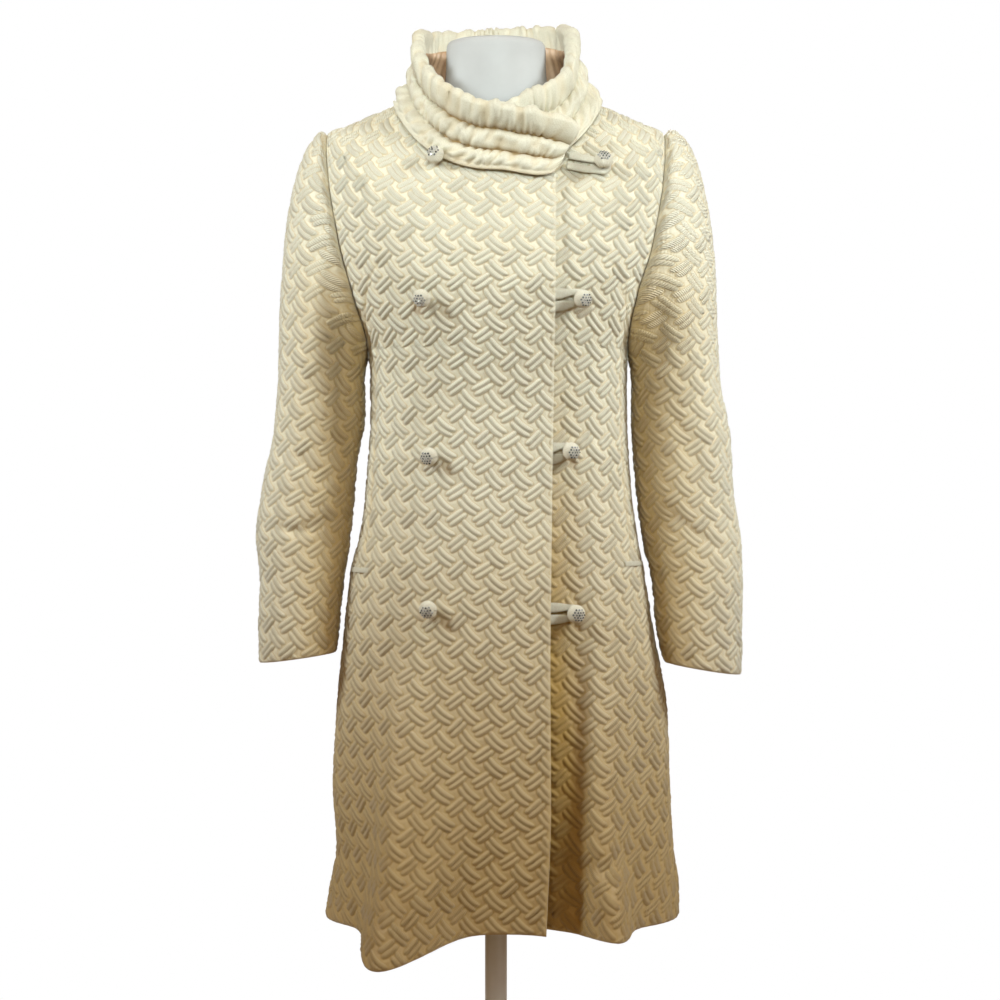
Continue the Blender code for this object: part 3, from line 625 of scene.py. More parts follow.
@dataclass(frozen=True)
class NodeNumber:
    """A number in a material's nodes, worked on with Python's own signs."""

    tree: Tree
    socket: Socket

    def make(self, operation: str, *values: "NodeNumber | float") -> "NodeNumber":
        """The result of one operation on numbers."""
        given = [value.socket if isinstance(value, NodeNumber) else float(value) for value in values]
        return NodeNumber(self.tree, math_node(self.tree, operation, *given))

    def __add__(self, other: "NodeNumber | float") -> "NodeNumber":
        """The two numbers together."""
        return self.make("ADD", self, other)

    def __sub__(self, other: "NodeNumber | float") -> "NodeNumber":
        """This number less the other."""
        return self.make("SUBTRACT", self, other)

    def __rsub__(self, other: float) -> "NodeNumber":
        """The other number less this one."""
        return self.make("SUBTRACT", other, self)

    def __mul__(self, other: "NodeNumber | float") -> "NodeNumber":
        """The two numbers multiplied."""
        return self.make("MULTIPLY", self, other)

    def __truediv__(self, other: "NodeNumber | float") -> "NodeNumber":
        """This number over the other."""
        return self.make("DIVIDE", self, other)

    def __gt__(self, other: "NodeNumber | float") -> "NodeNumber":
        """1 where this number is the greater one, and 0 elsewhere."""
        return self.make("GREATER_THAN", self, other)

    __radd__ = __add__
    __rmul__ = __mul__


def node_function(operation: str) -> Callable[..., NodeNumber]:
    """A function over a material's numbers.

    Args:
        operation: the operation of the maths node that it adds.

    Returns:
        The function.
    """
    return lambda first, *others: first.make(operation, first, *others)


class NodeMaths:
    """The functions of numpy that the weave needs, over a material's numbers."""

    sin, cos, sqrt = node_function("SINE"), node_function("COSINE"), node_function("SQRT")
    abs, maximum = node_function("ABSOLUTE"), node_function("MAXIMUM")
    round, floor = node_function("ROUND"), node_function("FLOOR")


def new_material(
    name: str, roughness: float
) -> tuple[Material, Tree, bpy.types.Node]:
    """A material with one Principled shader.

    Args:
        name: the material's name.
        roughness: the shader's roughness.

    Returns:
        The material, its node tree and the shader.
    """
    made = bpy.data.materials.new(name)
    made.use_nodes = True
    shader = made.node_tree.nodes["Principled BSDF"]
    shader.inputs["Roughness"].default_value = roughness
    return made, made.node_tree, shader


def attribute(tree: Tree, name: str) -> Socket:
    """A number that the mesh carries, as a socket."""
    node = tree.nodes.new("ShaderNodeAttribute")
    node.attribute_name = name
    return node.outputs["Fac"]


def noise(tree: Tree, place: Socket, scale: float, detail: float) -> Socket:
    """Cloudy noise over a place, from 0 to 1."""
    node = tree.nodes.new("ShaderNodeTexNoise")
    node.inputs["Scale"].default_value = scale
    node.inputs["Detail"].default_value = detail
    tree.links.new(place, node.inputs["Vector"])
    return node.outputs["Fac"]


def remap(
    tree: Tree, value: Socket, low: float, high: float, to_low: float, to_high: float
) -> Socket:
    """The value, moved from one range to another and held inside it."""
    node = tree.nodes.new("ShaderNodeMapRange")
    for name, number in (("From Min", low), ("From Max", high), ("To Min", to_low), ("To Max", to_high)):
        node.inputs[name].default_value = number
    tree.links.new(value, node.inputs["Value"])
    return node.outputs["Result"]


def math_node(tree: Tree, operation: str, *values: Socket | float) -> Socket:
    """One sum over sockets and numbers."""
    node = tree.nodes.new("ShaderNodeMath")
    node.operation = operation
    for place, value in enumerate(values):
        feed(tree, value, node.inputs[place])
    return node.outputs["Value"]


def mix_colour(
    tree: Tree, share: Socket | float, first: Socket | Colour, second: Socket | Colour
) -> Socket:
    """One colour turning into another by a share from 0 to 1."""
    node = tree.nodes.new("ShaderNodeMix")
    node.data_type = "RGBA"
    feed(tree, share, node.inputs[0])
    feed(tree, first, node.inputs[6])
    feed(tree, second, node.inputs[7])
    return node.outputs[2]


def feed(tree: Tree, value: Socket | float | Colour, socket: Socket) -> None:
    """Links a socket to another one, or sets its number or colour."""
    if isinstance(value, Socket):
        tree.links.new(value, socket)
    elif isinstance(value, tuple):
        socket.default_value = (*value, 1.0)
    else:
        socket.default_value = value


def bump(
    tree: Tree, height: Socket, distance: float, strength: float, under: Socket | None
) -> Socket:
    """A bump over an earlier one.

    Args:
        tree: the material's nodes.
        height: the height's socket.
        distance: how high 1 is, in metres.
        strength: how strongly it shows.
        under: the normal that it lies on, or None.

    Returns:
        The bumped normal.
    """
    node = tree.nodes.new("ShaderNodeBump")
    node.inputs["Strength"].default_value = strength
    node.inputs["Distance"].default_value = distance
    tree.links.new(height, node.inputs["Height"])
    if under is not None:
        tree.links.new(under, node.inputs["Normal"])
    return node.outputs["Normal"]


@dataclass(frozen=True)
class Cut:
    """A sheet's flat size, and how it is held."""

    width: float
    length: float
    area: float
    held: str = "hung"
    rests_on: tuple[str, ...] = ("form_body",)


def settle(
    piece: bpy.types.Object, finish: Material, slot: str, nodes: Sequence[str], cut: Cut | None
) -> None:
    """Dresses a finished piece and ties it to the frame.

    Args:
        piece: the mesh object.
        finish: its material.
        slot: the record's material slot.
        nodes: the CAD nodes that it stands for.
        cut: its flat size, where it is a sheet of cloth.
    """
    if not piece.data.materials:
        piece.data.materials.append(finish)
    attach(piece, BODY)
    if nodes:
        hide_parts(*nodes)
    if cut:
        list(cut.rests_on)
    LOG.info("%s: %d faces, slot %s", piece.name, len(piece.data.polygons), slot)


@dataclass
class Skin:
    """A closed shell of cloth from a fine outer grid and a coarse inner one.

    The drape moves both skins and the relief only the outer one, along the base's normals.
    """

    name: str
    base: np.ndarray
    drape: np.ndarray
    relief: np.ndarray
    cloth: np.ndarray
    attributes: dict[str, np.ndarray]
    wrapped: bool = False
    wall: float = CLOTH
    inner_step: int = 4

    def normals(self) -> np.ndarray:
        """Unit normals of the base grid; its columns run to the right and its rows up."""
        down = np.gradient(self.base, axis=0)
        if self.wrapped:
            across = np.roll(self.base, -1, axis=1) - np.roll(self.base, 1, axis=1)
        else:
            across = np.gradient(self.base, axis=1)
        return unit(np.cross(across, down))

    def build(self) -> bpy.types.Object:
        """The shell as a mesh object, with its cloth coordinates and attributes."""
        normals = self.normals()
        outer = self.base + normals * (self.drape + self.relief)[..., None]
        rows, columns = outer.shape[:2]
        step = self.inner_step
        inner = (self.base + normals * (self.drape - self.wall)[..., None])[::step, ::step]
        inner_rows, inner_columns = inner.shape[:2]
        first_inner = rows * columns
        ids = np.arange(rows * columns).reshape(rows, columns)
        inner_ids = first_inner + np.arange(inner_rows * inner_columns).reshape(inner_rows, inner_columns)
        if self.wrapped:
            ids = np.concatenate([ids, ids[:, :1]], axis=1)
            inner_ids = np.concatenate([inner_ids, inner_ids[:, :1]], axis=1)
        faces = [quads(ids), quads(inner_ids)[:, ::-1]]
        walls = self.border(ids, inner_ids)
        points = np.concatenate([outer.reshape(-1, 3), inner.reshape(-1, 3)])
        mesh = fill_mesh(self.name, points, faces, walls)
        flat = np.concatenate([self.cloth.reshape(-1, 2), self.cloth[::step, ::step].reshape(-1, 2)])
        write_cloth(mesh, flat)
        for name, values in self.attributes.items():
            both = np.concatenate([values.ravel(), np.zeros(inner_rows * inner_columns)])
            written = mesh.attributes.new(name, "FLOAT", "POINT")
            written.data.foreach_set("value", both.astype(np.float32))
        return link(self.name, mesh)

    def border(self, ids: np.ndarray, inner_ids: np.ndarray) -> list[list[int]]:
        """Faces that close the shell's open borders.

        Args:
            ids: the outer grid's vertices.
            inner_ids: the inner grid's vertices.

        Returns:
            Lists of vertices, one for each face.
        """
        step = self.inner_step
        lines = [(ids[0], inner_ids[0], False), (ids[-1], inner_ids[-1], True)]
        if not self.wrapped:
            lines += [(ids[:, 0], inner_ids[:, 0], True), (ids[:, -1], inner_ids[:, -1], False)]
        walls = []
        for outside, inside, turned in lines:
            for i in range(len(inside) - 1):
                face = [int(n) for n in outside[i * step:(i + 1) * step + 1][::-1]]
                face += [int(inside[i]), int(inside[i + 1])]
                walls.append(face[::-1] if turned else face)
        return walls


def quads(ids: np.ndarray) -> np.ndarray:
    """The four vertices of each cell of a grid."""
    return np.stack([ids[:-1, :-1], ids[:-1, 1:], ids[1:, 1:], ids[1:, :-1]], axis=-1).reshape(-1, 4)


def fill_mesh(
    name: str, points: np.ndarray, faces: Sequence[np.ndarray], more: Sequence[Sequence[int]] = ()
) -> Mesh:
    """A smooth-shaded mesh.

    Args:
        name: the mesh's name.
        points: its vertices.
        faces: arrays of faces, each with faces of one size.
        more: faces of any size.

    Returns:
        The mesh.
    """
    corners = [array.ravel() for array in faces] + [np.array(face) for face in more]
    sizes = [np.full(len(array), array.shape[1]) for array in faces]
    sizes.append(np.array([len(face) for face in more], int))
    loops = np.concatenate(corners).astype(np.int32)
    totals = np.concatenate(sizes).astype(np.int32)
    mesh = bpy.data.meshes.new(name)
    mesh.vertices.add(len(points))
    mesh.vertices.foreach_set("co", points.astype(np.float32).ravel())
    mesh.loops.add(len(loops))
    mesh.loops.foreach_set("vertex_index", loops)
    mesh.polygons.add(len(totals))
    mesh.polygons.foreach_set("loop_start", (np.cumsum(totals) - totals).astype(np.int32))
    mesh.update(calc_edges=True)
    mesh.validate()
    mesh.shade_smooth()
    return mesh


def face_out(mesh: Mesh) -> None:
    """Turns a closed mesh's faces outward."""
    work = bmesh.new()
    work.from_mesh(mesh)
    bmesh.ops.recalc_face_normals(work, faces=work.faces)
    work.to_mesh(mesh)
    work.free()


def ring_mesh(name: str, rings: np.ndarray) -> Mesh:
    """A closed mesh through rings of points, capped at both ends.

    Args:
        name: the mesh's name.
        rings: a row of points for each ring.

    Returns:
        The mesh, its faces outward.
    """
    ids = np.arange(rings.shape[0] * rings.shape[1]).reshape(rings.shape[:2])
    caps = [[int(n) for n in ids[end]] for end in (0, -1)]
    mesh = fill_mesh(name, rings.reshape(-1, 3), [quads(np.concatenate([ids, ids[:, :1]], axis=1))], caps)
    face_out(mesh)
    return mesh


def write_cloth(mesh: Mesh, flat: np.ndarray) -> None:
    """Writes the cloth coordinates of a mesh's vertices into its UV map."""
    layer = mesh.uv_layers.new(name="cloth")
    corner = np.zeros(len(mesh.loops), np.int32)
    mesh.loops.foreach_get("vertex_index", corner)
    layer.data.foreach_set("uv", flat[corner].astype(np.float32).ravel())


def link(name: str, mesh: Mesh) -> bpy.types.Object:
    """The mesh as an object in the scene."""
    made = bpy.data.objects.new(name, mesh)
    bpy.context.scene.collection.objects.link(made)
    return made


@dataclass
class CoatPanels:
    """The back and the two fronts, with the weave's relief, their seams and their folds."""

    form: CoatForm
    weave: Weave
    finish: Material
    front_spacing: float = 0.00178
    back_spacing: float = 0.00222
    edge_roll: float = 0.004
    seam_reach: float = 0.0045
    seam_sink: float = 0.0010
    dart_width: float = 0.0013
    dart_sink: float = 0.0013
    # Painted shade: darker towards the hem, along the sunk darts and seams, and under the overlapping front.
    hem_painted_shade: float = 0.80
    hem_shade_top: float = 1.06
    hem_shade_reach: float = 0.55
    dart_painted_shade: float = 0.35
    dart_calm: float = 0.35
    seam_painted_shade: float = 0.18
    seam_line: float = 0.002
    edge_lift: float = 0.0010
    edge_fall: float = 0.0012
    lap_shadow_x: float = 0.052
    lap_shadow_reach: float = 0.055
    lap_shadow_tone: float = 0.6
    lap_shadow_top: float = 1.22
    front_columns: float = 0.84
    back_columns: float = 0.86
    darts: dict[Side, tuple[tuple[float, float], ...]] = field(default_factory=lambda: {
        Side.RIGHT: (
            (-0.113, 1.195), (-0.127, 1.180), (-0.1375, 1.163), (-0.1415, 1.142), (-0.1425, 1.121),
            (-0.1375, 1.097), (-0.1325, 1.070), (-0.1330, 1.000), (-0.1365, 0.930), (-0.1450, 0.862),
        ),
        Side.LEFT: (
            (0.109, 1.194), (0.127, 1.180), (0.1375, 1.167), (0.1400, 1.151), (0.1420, 1.121),
            (0.1390, 1.097), (0.1360, 1.070), (0.1370, 1.000), (0.1410, 0.930), (0.1490, 0.868),
        ),
    })
    creases: dict[str, tuple[Crease, ...]] = field(default_factory=lambda: {
        "front_right": (
            Crease(((-0.066, 0.800), (-0.0655, 0.640), (-0.080, 0.560), (-0.091, 0.475)), 0.013, -0.0042),
            Crease(((-0.104, 0.760), (-0.108, 0.560), (-0.118, 0.470)), 0.017, 0.0030),
            Crease(((-0.030, 0.700), (-0.036, 0.470)), 0.020, 0.0020),
            Crease(((-0.093, 0.535), (-0.088, 0.440)), 0.010, -0.0045, fade=0.5),
            Crease(((-0.150, 0.700), (-0.172, 0.470)), 0.012, -0.0030),
            Crease(((-0.060, 1.020), (-0.125, 0.985)), 0.009, -0.0014),
            Crease(((-0.080, 1.070), (-0.130, 1.052)), 0.008, -0.0012),
            Crease(((-0.0775, 1.150), (-0.0775, 1.134)), 0.012, -0.0016, fade=0),
            Crease(((-0.0705, 0.984), (-0.0705, 0.968)), 0.012, -0.0018, fade=0),
            Crease(((-0.0714, 0.824), (-0.0714, 0.806)), 0.013, -0.0022, fade=0),
        ),
        "front_left": (
            Crease(((0.112, 0.860), (0.118, 0.640), (0.112, 0.560)), 0.016, 0.0030),
            Crease(((0.088, 0.800), (0.084, 0.600), (0.078, 0.520)), 0.012, -0.0040),
            Crease(((0.066, 0.545), (0.063, 0.465)), 0.009, 0.0040, fade=0.5),
            Crease(((0.0845, 0.545), (0.0840, 0.460)), 0.007, -0.0055, fade=0.5),
            Crease(((0.108, 0.550), (0.118, 0.465)), 0.011, 0.0040, fade=0.5),
            Crease(((0.050, 0.552), (0.100, 0.543), (0.158, 0.560)), 0.010, -0.0034),
            Crease(((0.150, 0.760), (0.166, 0.600), (0.172, 0.540)), 0.013, -0.0032),
            Crease(((0.080, 1.010), (0.140, 0.985)), 0.009, -0.0014),
            Crease(((0.0914, 1.150), (0.0914, 1.134)), 0.012, -0.0014, fade=0),
            Crease(((0.0851, 0.818), (0.0851, 0.800)), 0.012, -0.0016, fade=0),
        ),
        "back": (
            Crease(((0.0, 0.740), (0.004, 0.470)), 0.020, -0.0040),
            Crease(((-0.072, 0.780), (-0.086, 0.470)), 0.016, 0.0040),
            Crease(((-0.118, 0.700), (-0.140, 0.470)), 0.013, -0.0040),
            Crease(((0.066, 0.760), (0.078, 0.470)), 0.016, 0.0042),
            Crease(((0.112, 0.720), (0.130, 0.470)), 0.014, -0.0038),
            Crease(((-0.030, 0.640), (-0.040, 0.470)), 0.012, -0.0025),
            Crease(((-0.110, 1.010), (-0.020, 0.985)), 0.010, -0.0020),
            Crease(((0.115, 1.020), (0.030, 1.000)), 0.011, -0.0022),
            Crease(((-0.135, 1.180), (-0.080, 1.090)), 0.012, -0.0020),
            Crease(((0.135, 1.185), (0.086, 1.085)), 0.012, -0.0022),
        ),
    })
    cuts: dict[str, Cut] = field(default_factory=lambda: {
        "front_right": Cut(0.33, 0.92, 0.252),
        "front_left": Cut(0.32, 0.91, 0.246),
        "back": Cut(0.48, 0.91, 0.352),
    })

    def grid(self, side: Side | None) -> tuple[np.ndarray, np.ndarray]:
        """A panel's outer surface as an even grid.

        Args:
            side: the front's side, or None for the back.

        Returns:
            Its points and its cloth coordinates.
        """
        form = self.form
        spacing = self.front_spacing if side else self.back_spacing
        levels = form.levels(spacing, 4)
        if side is None:
            first = form.armhole_angle(levels, True) + form.side_seam
            last = 2 * math.pi - first
            surface: Callable[[np.ndarray, np.ndarray], np.ndarray] = form.body
            middle = math.pi
        else:
            edge = form.edge_angle(levels, side)
            seam = side.value * (form.armhole_angle(levels, False) - form.side_seam)
            first, last = (seam, edge) if side is Side.RIGHT else (edge, seam)
            surface = partial(form.front, side)
            middle = 0.0
        widest = along_rows(surface(levels[:1, None], np.linspace(first[0], last[0], 60)[None]))[0, -1]
        steps = 4 * round(widest * (self.front_columns if side else self.back_columns) / spacing / 4)
        share = np.linspace(0, 1, 3 * steps)
        coarse = first[:, None] + (last - first)[:, None] * share
        lengths = along_rows(surface(levels[:, None], coarse))
        even = np.linspace(0, 1, steps + 1)
        angles = np.array([np.interp(even * l[-1], l, a) for l, a in zip(lengths, coarse)])
        points = surface(levels[:, None], angles)
        flat = along_rows(points, level_only=True)
        at_middle = np.array([np.interp(middle, a, f) for a, f in zip(angles, flat)])
        centre = surface(levels, np.full(len(levels), middle))
        rise = np.concatenate([[0], np.cumsum(np.linalg.norm(np.diff(centre, axis=0), axis=1))])
        v = levels[0] + rise[:, None] + points[..., 2] - centre[:, None, 2]
        return points, np.stack([flat - at_middle[:, None], v], axis=-1)

    def make(self, name: str, side: Side | None) -> bpy.types.Object:
        """Builds one panel.

        Args:
            name: its node's name.
            side: the front's side, or None for the back.

        Returns:
            The piece.
        """
        points, cloth = self.grid(side)
        puff, run, _ = self.weave.read(cloth[..., 0], cloth[..., 1])
        length = along_rows(points)
        from_first, from_last = length, length[:, -1:] - length
        from_edge = from_last if side is Side.RIGHT else from_first
        from_seam = from_first if side is Side.RIGHT else from_last
        if side is None:
            from_seam = np.minimum(from_first, from_last)
            from_edge = np.full(from_seam.shape, 1.0)
        height = points[..., 2]
        from_hem = height - height[:1]
        from_neck = np.maximum(cloth[-1:, :, 1] - cloth[..., 1], 0)
        relief = puff * swell(0.25 + from_edge / self.edge_roll * 0.75)
        relief = relief * swell(0.35 + from_seam / self.seam_reach * 0.65)
        relief = relief * swell(0.3 + from_hem / self.edge_roll * 0.7)
        relief = relief * swell(0.2 + from_neck / self.seam_reach * 0.8)
        dart = np.zeros(relief.shape)
        if side:
            dart = Crease(self.darts[side], self.dart_width, 1.0, fade=0.06).lift(points)
            wide = Crease(self.darts[side], self.dart_width * 1.8, 1.0, fade=0.06).lift(points)
            relief = relief * (1 - self.dart_calm * wide)
        raised = self.weave.puff * relief - self.weave.sunk - self.dart_sink * dart
        raised = -self.seam_sink + (raised + self.seam_sink) * swell(from_seam / self.seam_reach)
        roll = np.sqrt(np.clip(1 - np.clip(1 - from_edge / self.edge_roll, 0, 1) ** 2, 0, 1))
        lifted = 1 - swell((from_edge - 0.001) / self.edge_roll)
        raised = raised + self.edge_lift * lifted - self.edge_fall * (1 - roll)
        drape = sum((crease.lift(points) for crease in self.creases[name]), 0 * raised)
        # Painted shade along darts and seams, painted shadow under the lapped edge, darker towards the hem
        # where less light falls.
        shade = self.dart_painted_shade * dart + self.seam_painted_shade * (1 - swell(from_seam / self.seam_line))
        if side is Side.LEFT:
            under = 1 - swell((points[..., 0] - self.lap_shadow_x) / self.lap_shadow_reach)
            shade = shade + self.lap_shadow_tone * under * swell((self.lap_shadow_top - height) / 0.4)
        shade = np.clip(shade + self.hem_painted_shade * swell((self.hem_shade_top - height) / self.hem_shade_reach), 0, 1)
        mask = np.where(puff > 0.02, relief / np.maximum(puff, 0.02), 1.0)
        attributes = {"puff": np.clip(mask, 0, 1), "run": run, "shade": shade}
        skin = Skin(name + "_cloth", points, drape, raised, cloth, attributes)
        piece = skin.build()
        settle(piece, self.finish, "brocade", [name], self.cuts[name])
        return piece

    def build(self) -> None:
        """Builds the back and both fronts."""
        self.make("back", None)
        self.make("front_right", Side.RIGHT)
        self.make("front_left", Side.LEFT)


@dataclass
class Sleeve:
    """One set-in sleeve: an eased head, a bent elbow, an open cuff."""

    form: CoatForm
    weave: Weave
    finish: Material
    side: Side
    rows: Table
    creases: tuple[Crease, ...]
    cut: Cut
    spacing: float = 0.0020
    tuck: float = 0.0012
    seam_sink: float = 0.0010
    blend_rings: float = 5.0
    gather_reach: float = 0.022
    gather_rise: float = 0.0013
    gathers: int = 34
    girth: float = 0.325
    cuff_reach: float = 0.004
    head_reach: float = 0.006
    weave_shift: tuple[float, float] = (0.004, 0.006)
    # Painted shade at the sunk head and underarm seams and on the inner side turned to the body.
    head_painted_shade: float = 0.18
    seam_painted_shade: float = 0.2
    inner_painted_shade: float = 0.85
    inner_top: float = 1.235
    inner_reach: float = 0.11

    def ring(self, at: np.ndarray, turned: np.ndarray) -> np.ndarray:
        """Points of the sleeve's rings before they meet the armhole.

        Args:
            at: places among the table's rows.
            turned: how far round from the underarm, in radians.

        Returns:
            A grid of points, a row for each ring.
        """
        value = {}
        for name in self.rows.names[1:]:
            value[name] = self.rows.read(name, at)[:, None]
        share = (1 - np.cos(turned)) / 2
        x = self.side.value * (value["under_x"] + (value["over_x"] - value["under_x"]) * share)
        z = value["under_z"] + (value["over_z"] - value["under_z"]) * share
        reach = np.where(np.sin(turned) > 0, -value["front"], value["back"])
        y = value["middle_y"] + reach * np.abs(np.sin(turned))
        return np.stack(np.broadcast_arrays(x, y, z), axis=-1)

    def surface(self, at: np.ndarray, turned: np.ndarray) -> np.ndarray:
        """The sleeve's outer surface, from the armhole (0) to the cuff."""
        start = self.form.armhole(self.side, turned)
        start[:, 0] -= self.side.value * self.tuck
        shift = start - self.ring(np.zeros(1), turned)[0]
        return self.ring(at, turned) + shift * (1 - swell(at / self.blend_rings))[:, None, None]

    def grid(self) -> tuple[np.ndarray, np.ndarray, np.ndarray]:
        """The surface as an even grid from the cuff up, running to the right.

        Returns:
            Its points, its cloth coordinates and how far round each column lies.
        """
        last = len(self.rows.rows) - 1.0
        places = np.linspace(0, last, 300)
        outline = self.surface(places, np.linspace(0, 2 * math.pi, 49)[:-1])
        rise = np.linalg.norm(np.diff(outline, axis=0), axis=-1).mean(axis=1)
        run = np.concatenate([[0], np.cumsum(rise)])
        count = 4 * round(run[-1] / self.spacing / 4)
        at = np.interp(np.linspace(run[-1], 0, count + 1), run, places)
        columns = 4 * round(self.girth / self.spacing / 4)
        turned = np.linspace(0, 2 * math.pi, columns + 1)[:-1]
        if self.side is Side.RIGHT:
            turned = turned[::-1]
        points = self.surface(at, turned)
        flat = along_rows(points, level_only=True)
        front = int(np.argmin(np.abs(turned - math.pi / 2)))
        u = flat - flat[:, front:front + 1]
        steps = np.linalg.norm(np.diff(points, axis=0), axis=-1)
        v = points[:1, :, 2] + np.concatenate([np.zeros((1, columns)), np.cumsum(steps, axis=0)])
        return points, np.stack([u, v], axis=-1), turned

    def build(self) -> bpy.types.Object:
        """Builds the sleeve."""
        name = f"sleeve_{self.side.word}"
        points, cloth, turned = self.grid()
        cloth = cloth + (self.weave_shift[0] * self.side.value, self.weave_shift[1])
        puff, run, _ = self.weave.read(cloth[..., 0], cloth[..., 1])
        from_cuff = cloth[..., 1] - cloth[:1, :, 1]
        from_head = cloth[-1:, :, 1] - cloth[..., 1]
        under = np.minimum(turned, 2 * math.pi - turned) * 0.05
        relief = puff * swell(0.3 + from_cuff / self.cuff_reach * 0.7) * swell(0.3 + from_head / 0.007 * 0.7)
        relief = relief * swell(0.4 + under / 0.006 * 0.6)
        raised = self.weave.puff * relief - self.weave.sunk
        raised = -self.seam_sink + (raised + self.seam_sink) * swell(from_head / self.head_reach)
        raised = raised - 0.0008 * (1 - swell(under / 0.003))
        upper = swell((np.cos(turned - math.pi) + 0.35) / 0.8)
        wave = turned * self.gathers / 2 + 1.1 * np.sin(turned * 5) + 0.5 * np.sin(turned * 11)
        fold = np.abs(np.sin(wave)) - 0.55
        strength = upper * (0.55 + 0.45 * np.sin(turned * 7 + 1.0))
        strength = strength * np.exp(-from_head / self.gather_reach * 1.6)
        drape = self.gather_rise * fold * strength * swell(from_head / 0.003)
        middle = points[..., 1].mean(axis=1, keepdims=True)
        facing = swell((middle - points[..., 1]) / 0.04 + 0.5)
        for crease in self.creases:
            drape = drape + crease.lift(points, facing)
        # Painted shade at the head and underarm seams, and on the inner side that turns to the body below the
        # armpit.
        shade = self.head_painted_shade * (1 - swell(from_head / 0.002)) + self.seam_painted_shade * (1 - swell(under / 0.003))
        below = swell((self.inner_top - points[..., 2]) / self.inner_reach)
        turned_in = np.clip((1 + np.cos(turned)) / 2, 0, 1) ** 1.1 * below
        shade = shade + self.inner_painted_shade * turned_in * (0.4 + 0.6 * facing)
        mask = np.where(puff > 0.02, relief / np.maximum(puff, 0.02), 1.0)
        attributes = {"puff": np.clip(mask, 0, 1), "run": run, "shade": np.clip(shade, 0, 1)}
        piece = Skin(name + "_cloth", points, drape, raised, cloth, attributes, wrapped=True).build()
        settle(piece, self.finish, "brocade", [name], self.cut)
        return piece


@dataclass(frozen=True)
class Roll:
    """One puffed roll of the collar, with the pleats that cross it."""

    low: float
    high: float
    pitch: float
    slant: float
    reach: float
    rise: float


